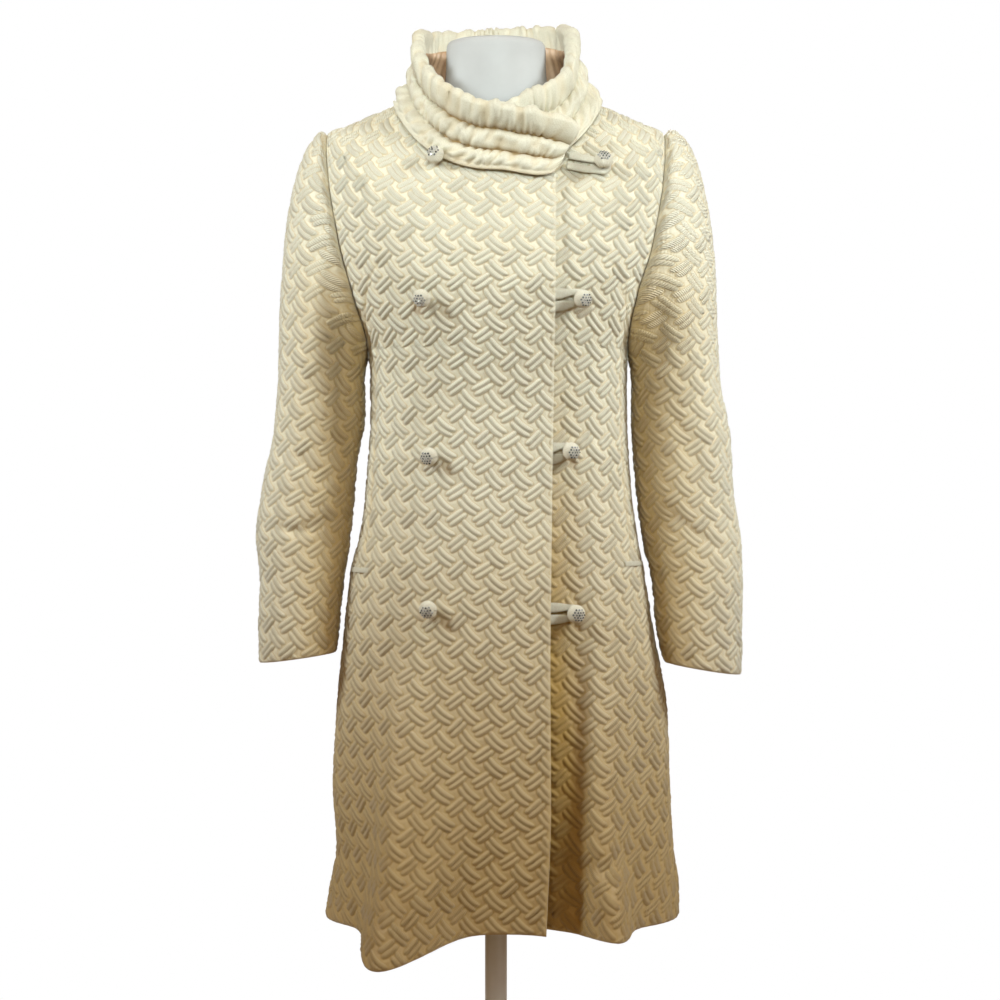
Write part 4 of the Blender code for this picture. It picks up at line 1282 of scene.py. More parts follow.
@dataclass
class CollarBand:
    """The ruched band, wound round the neck by more than a turn, and the satin inside it."""

    form: CoatForm
    finish: Material
    satin: Material
    stations: int = 570
    outside_steps: int = 70
    rim_steps: int = 18
    inside_steps: int = 22
    rolls: tuple[Roll, ...] = (
        Roll(0.0, 0.30, 0.0126, 0.0170, 0.80, 0.0028),
        Roll(0.30, 0.66, 0.0108, 0.0100, 0.60, 0.0030),
        Roll(0.66, 1.15, 0.0102, 0.0070, 0.50, 0.0032),
    )
    roll_height: float = 0.0086
    crease_height: float = -0.0010
    smooth_crease: float = 0.0040
    smooth_turns: tuple[float, float, float, float] = (45.0, 75.0, 108.0, 140.0)
    rim_radius: float = 0.0085
    inside: float = 0.0030
    bow: float = 0.0070
    clearance: float = 0.0018
    overhang: float = 0.045
    last_outside: float = 0.88
    crown_rise: float = 0.0022
    crown_pitch: float = 0.0170
    lump_rise: float = 0.0026
    edge_heights: tuple[float, float, float, float] = (0.0002, 0.0048, 0.0068, 0.0078)
    # Turns between which the painted crease shade is strongest.
    crease_shade_from: float = 305.0
    crease_shade_to: float = 399.0
    lining_from: float = 40.0
    lining_to: float = 318.0
    lining_top: float = 0.80
    lining_wall: float = 0.0012
    cut: Cut = Cut(0.78, 0.13, 0.080, "gathered")
    lining_cut: Cut = Cut(0.46, 0.06, 0.024, "gathered")
    rows: Table = Table(
        ("turn", "rim_x", "rim_y", "rim_z", "puff"),
        (
            (-28, -0.040, -0.052, 1.3320, 0.40),
            (-10, -0.012, -0.060, 1.3440, 0.55),
            (10, 0.018, -0.060, 1.3540, 0.85),
            (32, 0.046, -0.056, 1.3680, 1.00),
            (46, 0.065, -0.050, 1.3780, 1.00),
            (60, 0.078, -0.038, 1.3940, 1.00),
            (75, 0.0820, -0.022, 1.4180, 1.00),
            (92, 0.0815, -0.002, 1.4410, 1.00),
            (120, 0.070, 0.044, 1.4520, 1.00),
            (150, 0.038, 0.066, 1.4560, 1.00),
            (180, -0.003, 0.074, 1.4540, 1.00),
            (210, -0.043, 0.066, 1.4510, 1.00),
            (240, -0.074, 0.044, 1.4460, 1.00),
            (268, -0.0855, -0.002, 1.4385, 1.00),
            (285, -0.0840, -0.024, 1.4170, 1.00),
            (302, -0.0740, -0.046, 1.3910, 1.00),
            (322, -0.054, -0.072, 1.3700, 1.00),
            (342, -0.025, -0.0865, 1.3520, 1.00),
            (360, 0.002, -0.0905, 1.3455, 1.00),
            (378, 0.040, -0.0890, 1.3390, 1.00),
            (394, 0.090, -0.070, 1.3290, 1.00),
        ),
    )

    def neckline(self, turn: float) -> np.ndarray:
        """The middle of the coat's upper edge at a turn."""
        angle = math.radians(turn)
        if turn < 90:
            edge = self.form.front(Side.LEFT, self.form.neck, angle)
        elif turn > 270:
            edge = self.form.front(Side.RIGHT, self.form.neck, angle - 2 * math.pi)
        else:
            edge = self.form.body(self.form.neck, angle)
        inward = -np.array([math.sin(angle), -math.cos(angle), 0])
        return edge + inward * CLOTH / 2 + np.array([0, 0, self.clearance])

    def ends(self, turn: float) -> tuple[np.ndarray, np.ndarray]:
        """The band's base and rim at a turn."""
        rim = np.array([float(self.rows.read(name, turn)) for name in ("rim_x", "rim_y", "rim_z")])
        return self.neckline(turn), rim

    def frame_at(self, turn: float) -> tuple[np.ndarray, np.ndarray, np.ndarray, np.ndarray]:
        """Base, rim, and the directions out from the neck and up the band at a turn."""
        base, rim = self.ends(turn)
        first, last = self.rows.rows[0][0], self.rows.rows[-1][0]
        before, after = self.ends(max(turn - 4, first)), self.ends(min(turn + 4, last))
        along = (after[0] + after[1]) - (before[0] + before[1])
        upward = (rim - base) / np.linalg.norm(rim - base)
        return base, rim, unit(np.cross(along, upward)), upward

    def swelling(self, share: np.ndarray, turn: float) -> tuple[np.ndarray, np.ndarray]:
        """The rolls over the band's height.

        Args:
            share: places up the band, from 0 at the base to 1 at the rim.
            turn: where along the band, in degrees.

        Returns:
            How far the rolls stand out, and how close each place is to a crease.
        """
        start, full, falling, stop = self.smooth_turns
        smooth = swell((turn - start) / (full - start)) * swell((stop - turn) / (stop - falling))
        low_height = self.crease_height + (self.smooth_crease - self.crease_height) * smooth
        height, tight = np.full(share.shape, low_height), np.ones(share.shape)
        for roll in self.rolls:
            within = np.clip((share - roll.low) / (roll.high - roll.low), 0, 1)
            arch = np.sqrt(np.clip(np.sin(math.pi * within), 0, 1))
            inside = (share >= roll.low) & (share <= roll.high)
            height = np.where(inside, low_height + (self.roll_height - low_height) * arch, height)
            tight = np.where(inside, 1 - arch, tight)
        return height, tight * (1 - 0.6 * smooth)

    def inner_depth(self, share: np.ndarray) -> np.ndarray:
        """How far the band's inner side lies in from the line between base and rim."""
        thicker = 0.0030 * swell((share - 0.55) / 0.2)
        return self.inside + thicker + self.bow * np.sin(math.pi * share)

    def sections(self) -> tuple[np.ndarray, np.ndarray, np.ndarray]:
        """The band's outline at every station.

        Returns:
            The points, each column's share of the band's height, and the painted crease shade at each point,
            from how close it is to a crease.
        """
        low = np.array([-self.overhang * 0.4, -self.overhang, -self.overhang, -self.overhang * 0.5])
        shares = np.concatenate([low, np.linspace(0.01, self.last_outside, self.outside_steps)])
        rim_turns = np.radians(np.linspace(0, 180, self.rim_steps))
        inner_shares = np.linspace(0.86, 0.0, self.inside_steps)
        first, last = self.rows.rows[0][0], self.rows.rows[-1][0]
        turns = np.linspace(first, last, self.stations)
        rows, tightness = [], []
        for turn in turns:
            base, rim, outward, upward = self.frame_at(float(turn))
            puff = float(self.rows.read("puff", turn))
            wobble = 0.009 * math.sin(turn * 0.31) + 0.007 * math.sin(turn * 0.83 + 1)
            moved = np.clip(shares, 0.04, 1) + wobble * np.sin(math.pi * np.clip(shares, 0, 1)) ** 2
            heights, tight = self.swelling(moved, turn)
            heights[:4] = self.edge_heights
            # Half the painted crease shade along the base's edge.
            tight[:4] = 0.5
            out = puff * heights - self.bow * np.sin(math.pi * np.clip(shares, 0, 1))
            outside = base + (rim - base) * shares[:, None] + outward * out[:, None]
            reach = self.rim_radius * np.where(rim_turns < math.pi / 2, puff, 0.8)
            over = rim + outward * (reach * np.cos(rim_turns))[:, None]
            over = over + upward * (self.rim_radius * np.sin(rim_turns))[:, None]
            depth = self.inner_depth(inner_shares)
            within = base + (rim - base) * inner_shares[:, None] - outward * depth[:, None]
            rows.append(np.concatenate([outside, over, within]))
            # Painted crease shade, strongest across the band's front.
            front = 0.35 + 0.65 * swell((turn - self.crease_shade_from) / 25) * swell((self.crease_shade_to - turn) / 12)
            tightness.append(np.concatenate([tight * front, 0 * rim_turns, 0 * inner_shares]))
        share = np.concatenate([shares, np.linspace(0.9, 1.1, self.rim_steps), inner_shares])
        return np.array(rows), share, np.array(tightness)

    def pleats(self, run: np.ndarray, share: np.ndarray) -> np.ndarray:
        """Small slanting pleats, drawn in where the rolls meet.

        Args:
            run: lengths along the band.
            share: places up the band.

        Returns:
            How far each point is lifted.
        """
        lift = 0 * run
        for number, roll in enumerate(self.rolls):
            within = np.clip((share - roll.low) / (roll.high - roll.low), 0, 1)
            place = run - roll.slant * within
            wave = math.pi * place / roll.pitch + 1.5 * np.sin(place * 41 + number * 2)
            wave = wave + 1.3 * np.sin(place * 97 + number + within * 1.5)
            fold = np.abs(np.sin(wave)) - 0.64
            tug = 0.65 + 0.35 * np.sin(place * 33 + number * 1.7)
            near_low = np.exp(-((within / roll.reach) ** 2))
            near_high = np.exp(-(((1 - within) / (roll.reach * 0.8)) ** 2))
            crown = math.pi * place / self.crown_pitch + 1.2 * np.sin(place * 29 + number)
            crown = np.abs(np.sin(crown)) - 0.64
            lump = place * 151 + 2.4 * np.sin(place * 47 + number * 3) + within * 4
            lump = np.sin(lump) * np.sin(place * 63 + number)
            raised = roll.rise * tug * fold * np.maximum(near_low, near_high)
            raised = raised + (self.crown_rise * crown + self.lump_rise * lump) * np.sin(math.pi * within)
            lift = lift + np.where((share >= roll.low) & (share < roll.high), raised, 0)
        return lift

    def build_band(self) -> bpy.types.Object:
        """Builds the ruched band as one closed body."""
        points, share, tight = self.sections()
        rows = len(points)
        run = np.linalg.norm(np.diff(points.mean(axis=1), axis=0), axis=1)
        run = np.concatenate([[0], np.cumsum(run)])[:, None] + 0 * share
        from_end = np.minimum(np.arange(rows), np.arange(rows)[::-1])
        lift = self.pleats(run, share + 0 * run) * (0.3 + 0.7 * swell(from_end / 14))[:, None]
        inner = self.inside_steps
        inner_run = run[:, -inner:] * 0.9 + 0.3
        lift[:, -inner:] = 0.55 * self.pleats(inner_run, share[-inner:] + 0 * inner_run)
        points = points + self.normals(points) * lift[..., None]
        points = self.round_ends(points)
        mesh = ring_mesh("collar_band", points)
        steps = np.linalg.norm(np.diff(points, axis=1), axis=-1)
        around = np.concatenate([np.zeros((rows, 1)), np.cumsum(steps, axis=1)], axis=1)
        # Painted shade near the creases and where the pleats sink, with the crest share lowered there.
        crest = np.clip(0.62 + lift / 0.0034 - 0.5 * tight**2, 0, 1)
        sunk = np.clip(-lift / 0.0032, 0, 1) * 0.30
        dress_mesh(mesh, np.stack([run, around], axis=-1), crest, run, np.clip(1.4 * tight**1.8 + sunk, 0, 1))
        piece = link("collar_band", mesh)
        settle(piece, self.finish, "collar_band", ["collar"], self.cut)
        return piece

    def round_ends(self, points: np.ndarray) -> np.ndarray:
        """Draws the band's two ends in to soft round edges."""
        middle = points.mean(axis=1, keepdims=True)
        rows = np.arange(len(points), dtype=float)
        start = np.sqrt(np.clip(1 - (1 - np.clip((rows + 0.8) / 12, 0, 1)) ** 2, 0, 1))
        stop = np.sqrt(np.clip(1 - (1 - np.clip((rows[::-1] + 1.6) / 8, 0, 1)) ** 2, 0, 1))
        return middle + (points - middle) * (start * stop)[:, None, None]

    def normals(self, points: np.ndarray) -> np.ndarray:
        """Unit normals of the band's closed outline, pointing out of the cloth."""
        across = np.roll(points, -1, axis=1) - np.roll(points, 1, axis=1)
        along = np.gradient(points, axis=0)
        found = unit(np.cross(across, along))
        away = points - points.mean(axis=1, keepdims=True)
        return found * np.sign((found * away).sum(axis=-1).mean())

    def build_lining(self) -> bpy.types.Object:
        """Builds the satin that faces the neck below the band's ruched rim."""
        shares = np.linspace(0.12, self.lining_top, 29)
        turns = np.linspace(self.lining_from + 5, self.lining_to - 5, 241)
        rows = []
        for turn in turns:
            base, rim, outward, _ = self.frame_at(float(turn))
            soft = 0.0009 * np.sin(turn * 0.21 + shares * 5) * np.sin(turn * 0.57 + 1)
            depth = self.inner_depth(shares) + self.lining_wall + SEAM_GAP * 2 + soft
            rows.append(base + (rim - base) * shares[:, None] - outward * depth[:, None])
        points = np.array(rows).transpose(1, 0, 2)
        length = along_rows(points)
        flat = np.stack([length, shares[:, None] * 0.1 + 0 * length], axis=-1)
        piece = Skin("collar_satin", points, 0 * length, 0 * length, flat, {}, wall=-self.lining_wall).build()
        face_out(piece.data)
        settle(piece, self.satin, "lining", ["collar_lining"], self.lining_cut)
        return piece

    def build(self) -> None:
        """Builds the band and its satin."""
        self.build_band()
        self.build_lining()


def dress_mesh(
    mesh: Mesh, flat: np.ndarray, puff: np.ndarray, run: np.ndarray, shade: Numbers
) -> None:
    """Writes a mesh's cloth coordinates and the numbers that the brocade reads.

    Args:
        mesh: the mesh.
        flat: cloth coordinates of its vertices.
        puff: how high each vertex is puffed, from 0 to 1.
        run: lengths that the ribs cross.
        shade: how far each vertex turns to the shade's colour.
    """
    write_cloth(mesh, flat.reshape(-1, 2))
    for name, values in (("puff", puff), ("run", run), ("shade", shade + 0 * run)):
        written = mesh.attributes.new(name, "FLOAT", "POINT")
        written.data.foreach_set("value", values.astype(np.float32).ravel())


@dataclass
class PocketEdges:
    """The finished lip of each side pocket's mouth."""

    form: CoatForm
    finish: Material
    levels: dict[Side, float] = field(default_factory=lambda: {Side.RIGHT: 0.857, Side.LEFT: 0.864})
    first: float = 58.0
    last: float = 83.0
    height: float = 0.0055
    stands_off: float = 0.0010

    def build(self) -> None:
        """Builds both lips as small rolled strips."""
        for side, level in self.levels.items():
            degrees = np.linspace(self.first, self.last, 61)
            angle = side.value * np.radians(degrees)
            outline = []
            for over in np.radians(np.linspace(0, 360, 17)[:-1]):
                rise = -self.height / 2 + self.height / 2 * math.cos(over)
                off = SEAM_GAP + self.stands_off / 2 * (1 + math.sin(over))
                here = self.form.front(side, level + rise, angle)
                outward = np.stack([np.sin(angle), -np.cos(angle), 0 * angle], axis=-1)
                wave = 0.0003 * np.sin(degrees * 2.1)[:, None]
                outline.append(here + outward * (off + wave))
            points = np.array(outline).transpose(1, 0, 2)
            name = f"pocket_lip_{side.word}"
            piece = tube(name, points)
            settle(piece, self.finish, "brocade", [f"pocket_edge_{side.word}"], None)


def tube(name: str, points: np.ndarray, spread: float = 0.6) -> bpy.types.Object:
    """A closed tube through rings of points, with cloth coordinates and attributes.

    Args:
        name: the piece's name.
        points: a row of points for each ring.
        spread: the puff that the finish reads all over it.

    Returns:
        The piece.
    """
    mesh = ring_mesh(name, points)
    columns = points.shape[1]
    run = np.concatenate([[0], np.cumsum(np.linalg.norm(np.diff(points.mean(axis=1), axis=0), axis=1))])
    run = run[:, None] + np.zeros((1, columns))
    around = np.arange(columns)[None] * 0.001 + 0 * run
    dress_mesh(mesh, np.stack([run, around], axis=-1), spread + 0 * run, run, 0.0)
    return link(name, mesh)


@dataclass(frozen=True)
class ButtonPlace:
    """Where a button's ball is, and how it leans and turns its stones."""

    side: Side
    x: float
    z: float
    lean_side: float
    lean_down: float
    stones_side: float
    stones_down: float


@dataclass
class Buttons:
    """Eight cloth-covered balls on shanks, each set with a cluster of dark stones."""

    form: CoatForm
    cloth: Material
    stone: Material
    setting: Material
    ball_radius: float = 0.0097
    ball_depth: float = 0.0135
    shank_radius: float = 0.0020
    shank_on_cloth: float = 0.0030
    shank_in_loop: float = 0.0068
    stone_radius: float = 0.00142
    stone_pitch: float = 0.00300
    cluster: tuple[int, ...] = (3, 4, 5, 4, 3)
    places: tuple[ButtonPlace, ...] = (
        ButtonPlace(Side.RIGHT, -0.0644, 1.2973, -11, 12, -5, -18),
        ButtonPlace(Side.RIGHT, -0.0777, 1.1420, -10, 10, -3, 7),
        ButtonPlace(Side.RIGHT, -0.0705, 0.9763, -7, 13, -4, 8),
        ButtonPlace(Side.RIGHT, -0.0714, 0.8144, -2, 13, 0, 14),
        ButtonPlace(Side.LEFT, 0.1148, 1.2923, 7, 3, 5, -14),
        ButtonPlace(Side.LEFT, 0.0914, 1.1422, 10, 2, 11, 2),
        ButtonPlace(Side.LEFT, 0.0800, 0.9816, 6, 4, 8, 5),
        ButtonPlace(Side.LEFT, 0.0851, 0.8092, 7, 4, 9, 6),
    )

    def seat(self, place: ButtonPlace) -> tuple[Vector, Vector, float]:
        """Foot, axis and shank length of a button, found from the middle of its ball."""
        shank = self.shank_in_loop if place.side is Side.LEFT else self.shank_on_cloth
        reach = shank + self.ball_depth / 2
        foot, sideways, upward, outward = self.form.on_front(place.side, place.x, place.z)
        axis = outward
        for _ in range(6):
            to_side = sideways * math.tan(math.radians(place.lean_side))
            downward = -upward * math.tan(math.radians(place.lean_down))
            axis = unit(outward + to_side + downward)
            foot, sideways, upward, outward = self.form.on_front(
                place.side, place.x - axis[0] * reach, place.z - axis[2] * reach
            )
        foot = Vector(foot + outward * SEAM_GAP)
        lift = Vector(axis) * self.shank_radius * math.tan(Vector(axis).angle(Vector(outward)))
        return foot + lift, Vector(axis), shank

    def ball(self, name: str, shank: float) -> bpy.types.Object:
        """The covered ball on its shank, standing on the origin along +Z."""
        profile = [(0.0, shank + self.ball_depth)]
        for degrees in np.linspace(6, 150, 34):
            over = math.radians(degrees)
            lift = shank + self.ball_depth / 2 * (1 + math.cos(over))
            profile.append((self.ball_radius * math.sin(over) ** 0.9, lift))
        profile += [(self.shank_radius * 1.3, shank + 0.0002), (self.shank_radius, shank - 0.0004)]
        profile += [(self.shank_radius, 0.0), (0.0, 0.0)]
        steps = 64
        rings = []
        for radius, height in profile[1:-1]:
            turn = np.arange(steps) * math.tau / steps
            gathered = swell((shank + self.ball_depth * 0.42 - height) / 0.004)
            crimp = 1 - 0.035 * gathered * np.abs(np.sin(turn * 9)) * (radius > self.shank_radius * 1.4)
            ring = [radius * crimp * np.cos(turn), radius * crimp * np.sin(turn), height + 0 * turn]
            rings.append(np.stack(ring, axis=-1))
        rings = np.array(rings)
        points = np.concatenate([rings.reshape(-1, 3), [(0, 0, profile[0][1]), (0, 0, 0)]])
        rows = len(rings)
        ids = np.arange(rows * steps).reshape(rows, steps)
        ids = np.concatenate([ids, ids[:, :1]], axis=1)
        top, bottom = rows * steps, rows * steps + 1
        fans = [[top, int(a), int(b)] for a, b in zip(ids[0, :-1], ids[0, 1:])]
        fans += [[bottom, int(b), int(a)] for a, b in zip(ids[-1, :-1], ids[-1, 1:])]
        mesh = fill_mesh(name, points, [quads(ids)[:, ::-1]], fans)
        turn = np.concatenate([np.tile(np.arange(steps) * self.ball_radius * math.tau / steps, rows), [0, 0]])
        dress_mesh(mesh, points[:, :2] + points[:, 2:] * 0.5, 0.7 + 0 * turn, turn, 0.0)
        return link(name, mesh)

    def stones(self, name: str, place: ButtonPlace, shank: float) -> bpy.types.Object:
        """The stones of one button, set on the ball in its own frame, made by Geometry Nodes."""
        middle = shank + self.ball_depth / 2
        points = []
        for row, count in enumerate(self.cluster):
            for column in range(count):
                x = (column - (count - 1) / 2) * self.stone_pitch
                y = (row - (len(self.cluster) - 1) / 2) * self.stone_pitch * 0.87
                z = math.sqrt(max(self.ball_radius**2 - x * x - y * y, 0))
                spot = Vector((x, y, z))
                spot.rotate(Matrix.Rotation(math.radians(place.stones_down), 3, "X"))
                spot.rotate(Matrix.Rotation(math.radians(place.stones_side), 3, "Y"))
                squeeze = self.ball_depth / 2 / self.ball_radius
                points.append((spot.x, spot.y, middle + spot.z * squeeze))
        carrier = bpy.data.meshes.new(name)
        carrier.from_pydata(points, [], [])
        outward = carrier.attributes.new("outward", "FLOAT_VECTOR", "POINT")
        away = [Vector((x, y, (z - middle) * 1.6)).normalized() for x, y, z in points]
        outward.data.foreach_set("vector", [part for vector in away for part in vector])
        made = link(name, carrier)
        modifier = made.modifiers.new("stones", "NODES")
        modifier.node_group = stone_tree(self.stone, self.setting)
        for socket in modifier.node_group.interface.items_tree:
            if socket.name == "Radius":
                modifier[socket.identifier] = self.stone_radius
            if socket.name == "Seed":
                modifier[socket.identifier] = int(abs(place.z) * 1000)
        return baked(made)

    def build(self) -> None:
        """Builds the eight buttons, each a ball and its stones."""
        for number, place in enumerate(self.places, 1):
            foot, axis, shank = self.seat(place)
            ball = self.ball(f"covered_button_{number}", shank)
            ball.data.materials.append(self.cloth)
            stones = self.stones(f"stones_{number}", place, shank)
            turn = Matrix.Translation(foot) @ upright(axis)
            for part in (ball, stones):
                part.data.transform(turn)
            settle(ball, self.cloth, "button_cloth", [f"button_{number}"], None)
            settle(stones, self.stone, "button_cloth", [], None)


def upright(axis: Vector) -> Matrix:
    """A turn that takes +Z to the axis and keeps +Y pointing up."""
    side = Vector((0, 0, 1)).cross(axis).normalized()
    up = axis.cross(side)
    return Matrix((side, up, axis)).transposed().to_4x4()


def baked(made: bpy.types.Object) -> bpy.types.Object:
    """Turns an object's modifiers into its plain mesh.

    Args:
        made: the object.

    Returns:
        The same object, with the evaluated mesh and no modifier.
    """
    graph = bpy.context.evaluated_depsgraph_get()
    mesh = bpy.data.meshes.new_from_object(made.evaluated_get(graph))
    made.modifiers.clear()
    made.data = mesh
    return made


def stone_tree(stone: Material, setting: Material) -> Tree:
    """Geometry Nodes that set a cut stone in a metal rim on each point.

    Args:
        stone: the stones' material.
        setting: the rims' material.

    Returns:
        The node group, made once and shared.
    """
    found = bpy.data.node_groups.get("cut_stones")
    if found:
        return found
    tree = bpy.data.node_groups.new("cut_stones", "GeometryNodeTree")
    tree.interface.new_socket("Geometry", in_out="INPUT", socket_type="NodeSocketGeometry")
    tree.interface.new_socket("Radius", in_out="INPUT", socket_type="NodeSocketFloat")
    tree.interface.new_socket("Seed", in_out="INPUT", socket_type="NodeSocketInt")
    tree.interface.new_socket("Geometry", in_out="OUTPUT", socket_type="NodeSocketGeometry")
    nodes, links = tree.nodes, tree.links
    given, result = nodes.new("NodeGroupInput"), nodes.new("NodeGroupOutput")
    radius = given.outputs["Radius"]

    def scaled(times: float) -> Socket:
        """The stone's radius, times a number."""
        node = nodes.new("ShaderNodeMath")
        node.operation = "MULTIPLY"
        links.new(radius, node.inputs[0])
        node.inputs[1].default_value = times
        return node.outputs["Value"]

    def cone(sides: int, top: float, bottom: float, depth: float, rim: bool) -> Socket:
        """A cut cone in multiples of the radius, marked where it is a rim."""
        node = nodes.new("GeometryNodeMeshCone")
        node.inputs["Vertices"].default_value = sides
        for name, times in (("Radius Top", top), ("Radius Bottom", bottom), ("Depth", depth)):
            links.new(scaled(times), node.inputs[name])
        mark = nodes.new("GeometryNodeStoreNamedAttribute")
        mark.data_type, mark.domain = "BOOLEAN", "FACE"
        mark.inputs["Name"].default_value = "rim"
        mark.inputs["Value"].default_value = rim
        links.new(node.outputs["Mesh"], mark.inputs["Geometry"])
        return mark.outputs["Geometry"]

    joined = nodes.new("GeometryNodeJoinGeometry")
    links.new(cone(8, 0.52, 0.92, 0.95, False), joined.inputs["Geometry"])
    links.new(cone(12, 0.98, 1.10, 0.42, True), joined.inputs["Geometry"])
    named = nodes.new("GeometryNodeInputNamedAttribute")
    named.data_type = "FLOAT_VECTOR"
    named.inputs["Name"].default_value = "outward"
    aim = nodes.new("FunctionNodeAlignRotationToVector")
    links.new(named.outputs["Attribute"], aim.inputs["Vector"])
    chance = nodes.new("FunctionNodeRandomValue")
    chance.data_type = "FLOAT"
    chance.inputs[2].default_value = 0.86
    chance.inputs[3].default_value = 1.10
    links.new(given.outputs["Seed"], chance.inputs["Seed"])
    on_points = nodes.new("GeometryNodeInstanceOnPoints")
    links.new(given.outputs["Geometry"], on_points.inputs["Points"])
    links.new(joined.outputs["Geometry"], on_points.inputs["Instance"])
    links.new(aim.outputs["Rotation"], on_points.inputs["Rotation"])
    links.new(chance.outputs[1], on_points.inputs["Scale"])
    real = nodes.new("GeometryNodeRealizeInstances")
    links.new(on_points.outputs["Instances"], real.inputs["Geometry"])
    rim = nodes.new("GeometryNodeInputNamedAttribute")
    rim.data_type = "BOOLEAN"
    rim.inputs["Name"].default_value = "rim"
    last = real.outputs["Geometry"]
    for finish in (stone, setting):
        dress = nodes.new("GeometryNodeSetMaterial")
        dress.inputs["Material"].default_value = finish
        links.new(last, dress.inputs["Geometry"])
        last = dress.outputs["Geometry"]
    links.new(rim.outputs["Attribute"], dress.inputs["Selection"])
    links.new(last, result.inputs["Geometry"])
    return tree


@dataclass(frozen=True)
class LoopPlace:
    """Which button a loop holds, where it comes out from below the edge, and its sizes there."""

    button: int
    x: float
    z: float
    spacing: float
    width: float


@dataclass
class Loops:
    """Flattened cloth tubes from below the front's edge round the shanks of the left buttons."""

    buttons: Buttons
    finish: Material
    thickness: float = 0.0042
    turn_radius: float = 0.0058
    turn_width: float = 0.0060
    sides: int = 20
    places: tuple[LoopPlace, ...] = (
        LoopPlace(4, 0.0772, 1.2930, 0.0062, 0.0085),
        LoopPlace(5, 0.0540, 1.1400, 0.0068, 0.0112),
        LoopPlace(6, 0.0520, 0.9780, 0.0066, 0.0106),
        LoopPlace(7, 0.0500, 0.8090, 0.0066, 0.0106),
    )

    def path(self, place: LoopPlace, length: float) -> np.ndarray:
        """The loop's middle line on the cloth: how far along, how far aside, and how wide."""
        share = np.linspace(0, 1, 22)[:-1]
        wide = place.width + (self.turn_width - place.width) * swell((share - 0.35) / 0.65)
        away = place.spacing + (self.turn_radius - place.spacing) * share
        bend = np.radians(np.linspace(90, -90, 25))
        out = np.stack([length * share, away, wide], axis=-1)
        turn = np.stack([length + self.turn_radius * np.cos(bend), self.turn_radius * np.sin(bend)], axis=-1)
        turn = np.concatenate([turn, np.full((len(bend), 1), self.turn_width)], axis=-1)
        return np.concatenate([out, turn, out[::-1] * (1, -1, 1)])

    def build(self) -> None:
        """Builds the four loops."""
        for number, place in enumerate(self.places, 1):
            foot = self.buttons.seat(self.buttons.places[place.button])[0]
            reach = foot.x - place.x
            tilt = math.atan2(foot.z - place.z, reach)
            path = self.path(place, math.hypot(reach, foot.z - place.z))
            run = unit(np.gradient(path[:, :2], axis=0))
            across = np.stack([-run[:, 1], run[:, 0]], axis=-1)
            over = np.arange(self.sides) * math.tau / self.sides
            flat = path[:, None, :2] + across[:, None] * (path[:, None, 2:] / 2 * np.cos(over)[:, None])
            x = place.x + flat[..., 0] * math.cos(tilt) - flat[..., 1] * math.sin(tilt)
            z = place.z + flat[..., 0] * math.sin(tilt) + flat[..., 1] * math.cos(tilt)
            here, _, _, outward = self.buttons.form.on_front(Side.LEFT, x, z)
            stitched = 0.00018 * np.sin(np.arange(len(path)) * 2.2)[:, None] * (np.sin(over) > 0)
            squared = np.sign(np.sin(over)) * np.abs(np.sin(over)) ** 0.8
            height = SEAM_GAP * 2 + self.thickness / 2 * (1 + squared)
            piece = tube(f"cloth_loop_{number}", here + outward * (height + stitched)[..., None])
            settle(piece, self.finish, "brocade", [f"loop_{number}"], None)


@dataclass
class ThreadCarrier:
    """The small thread bar at the wearer's left waist."""

    form: CoatForm
    finish: Material
    ends: tuple[tuple[float, float], ...] = ((0.1405, 1.0835), (0.1450, 1.0850))
    radius: float = 0.0006
    rise: float = 0.0022

    def build(self) -> None:
        """Builds the bar as a bowed thread."""
        share = np.linspace(0, 1, 17)
        (x0, z0), (x1, z1) = self.ends
        here, _, _, outward = self.form.on_front(Side.LEFT, x0 + (x1 - x0) * share, z0 + (z1 - z0) * share)
        path = here + outward * (self.rise * np.sin(math.pi * share) + 0.0002)[:, None]
        along = unit(np.gradient(path, axis=0))
        side = unit(np.cross(along, outward))
        top = np.cross(side, along)
        over = np.arange(8) * math.tau / 8
        ring = side[:, None] * np.cos(over)[None, :, None] + top[:, None] * np.sin(over)[None, :, None]
        piece = tube("thread_carrier", path[:, None] + self.radius * ring)
        settle(piece, self.finish, "brocade", [], None)


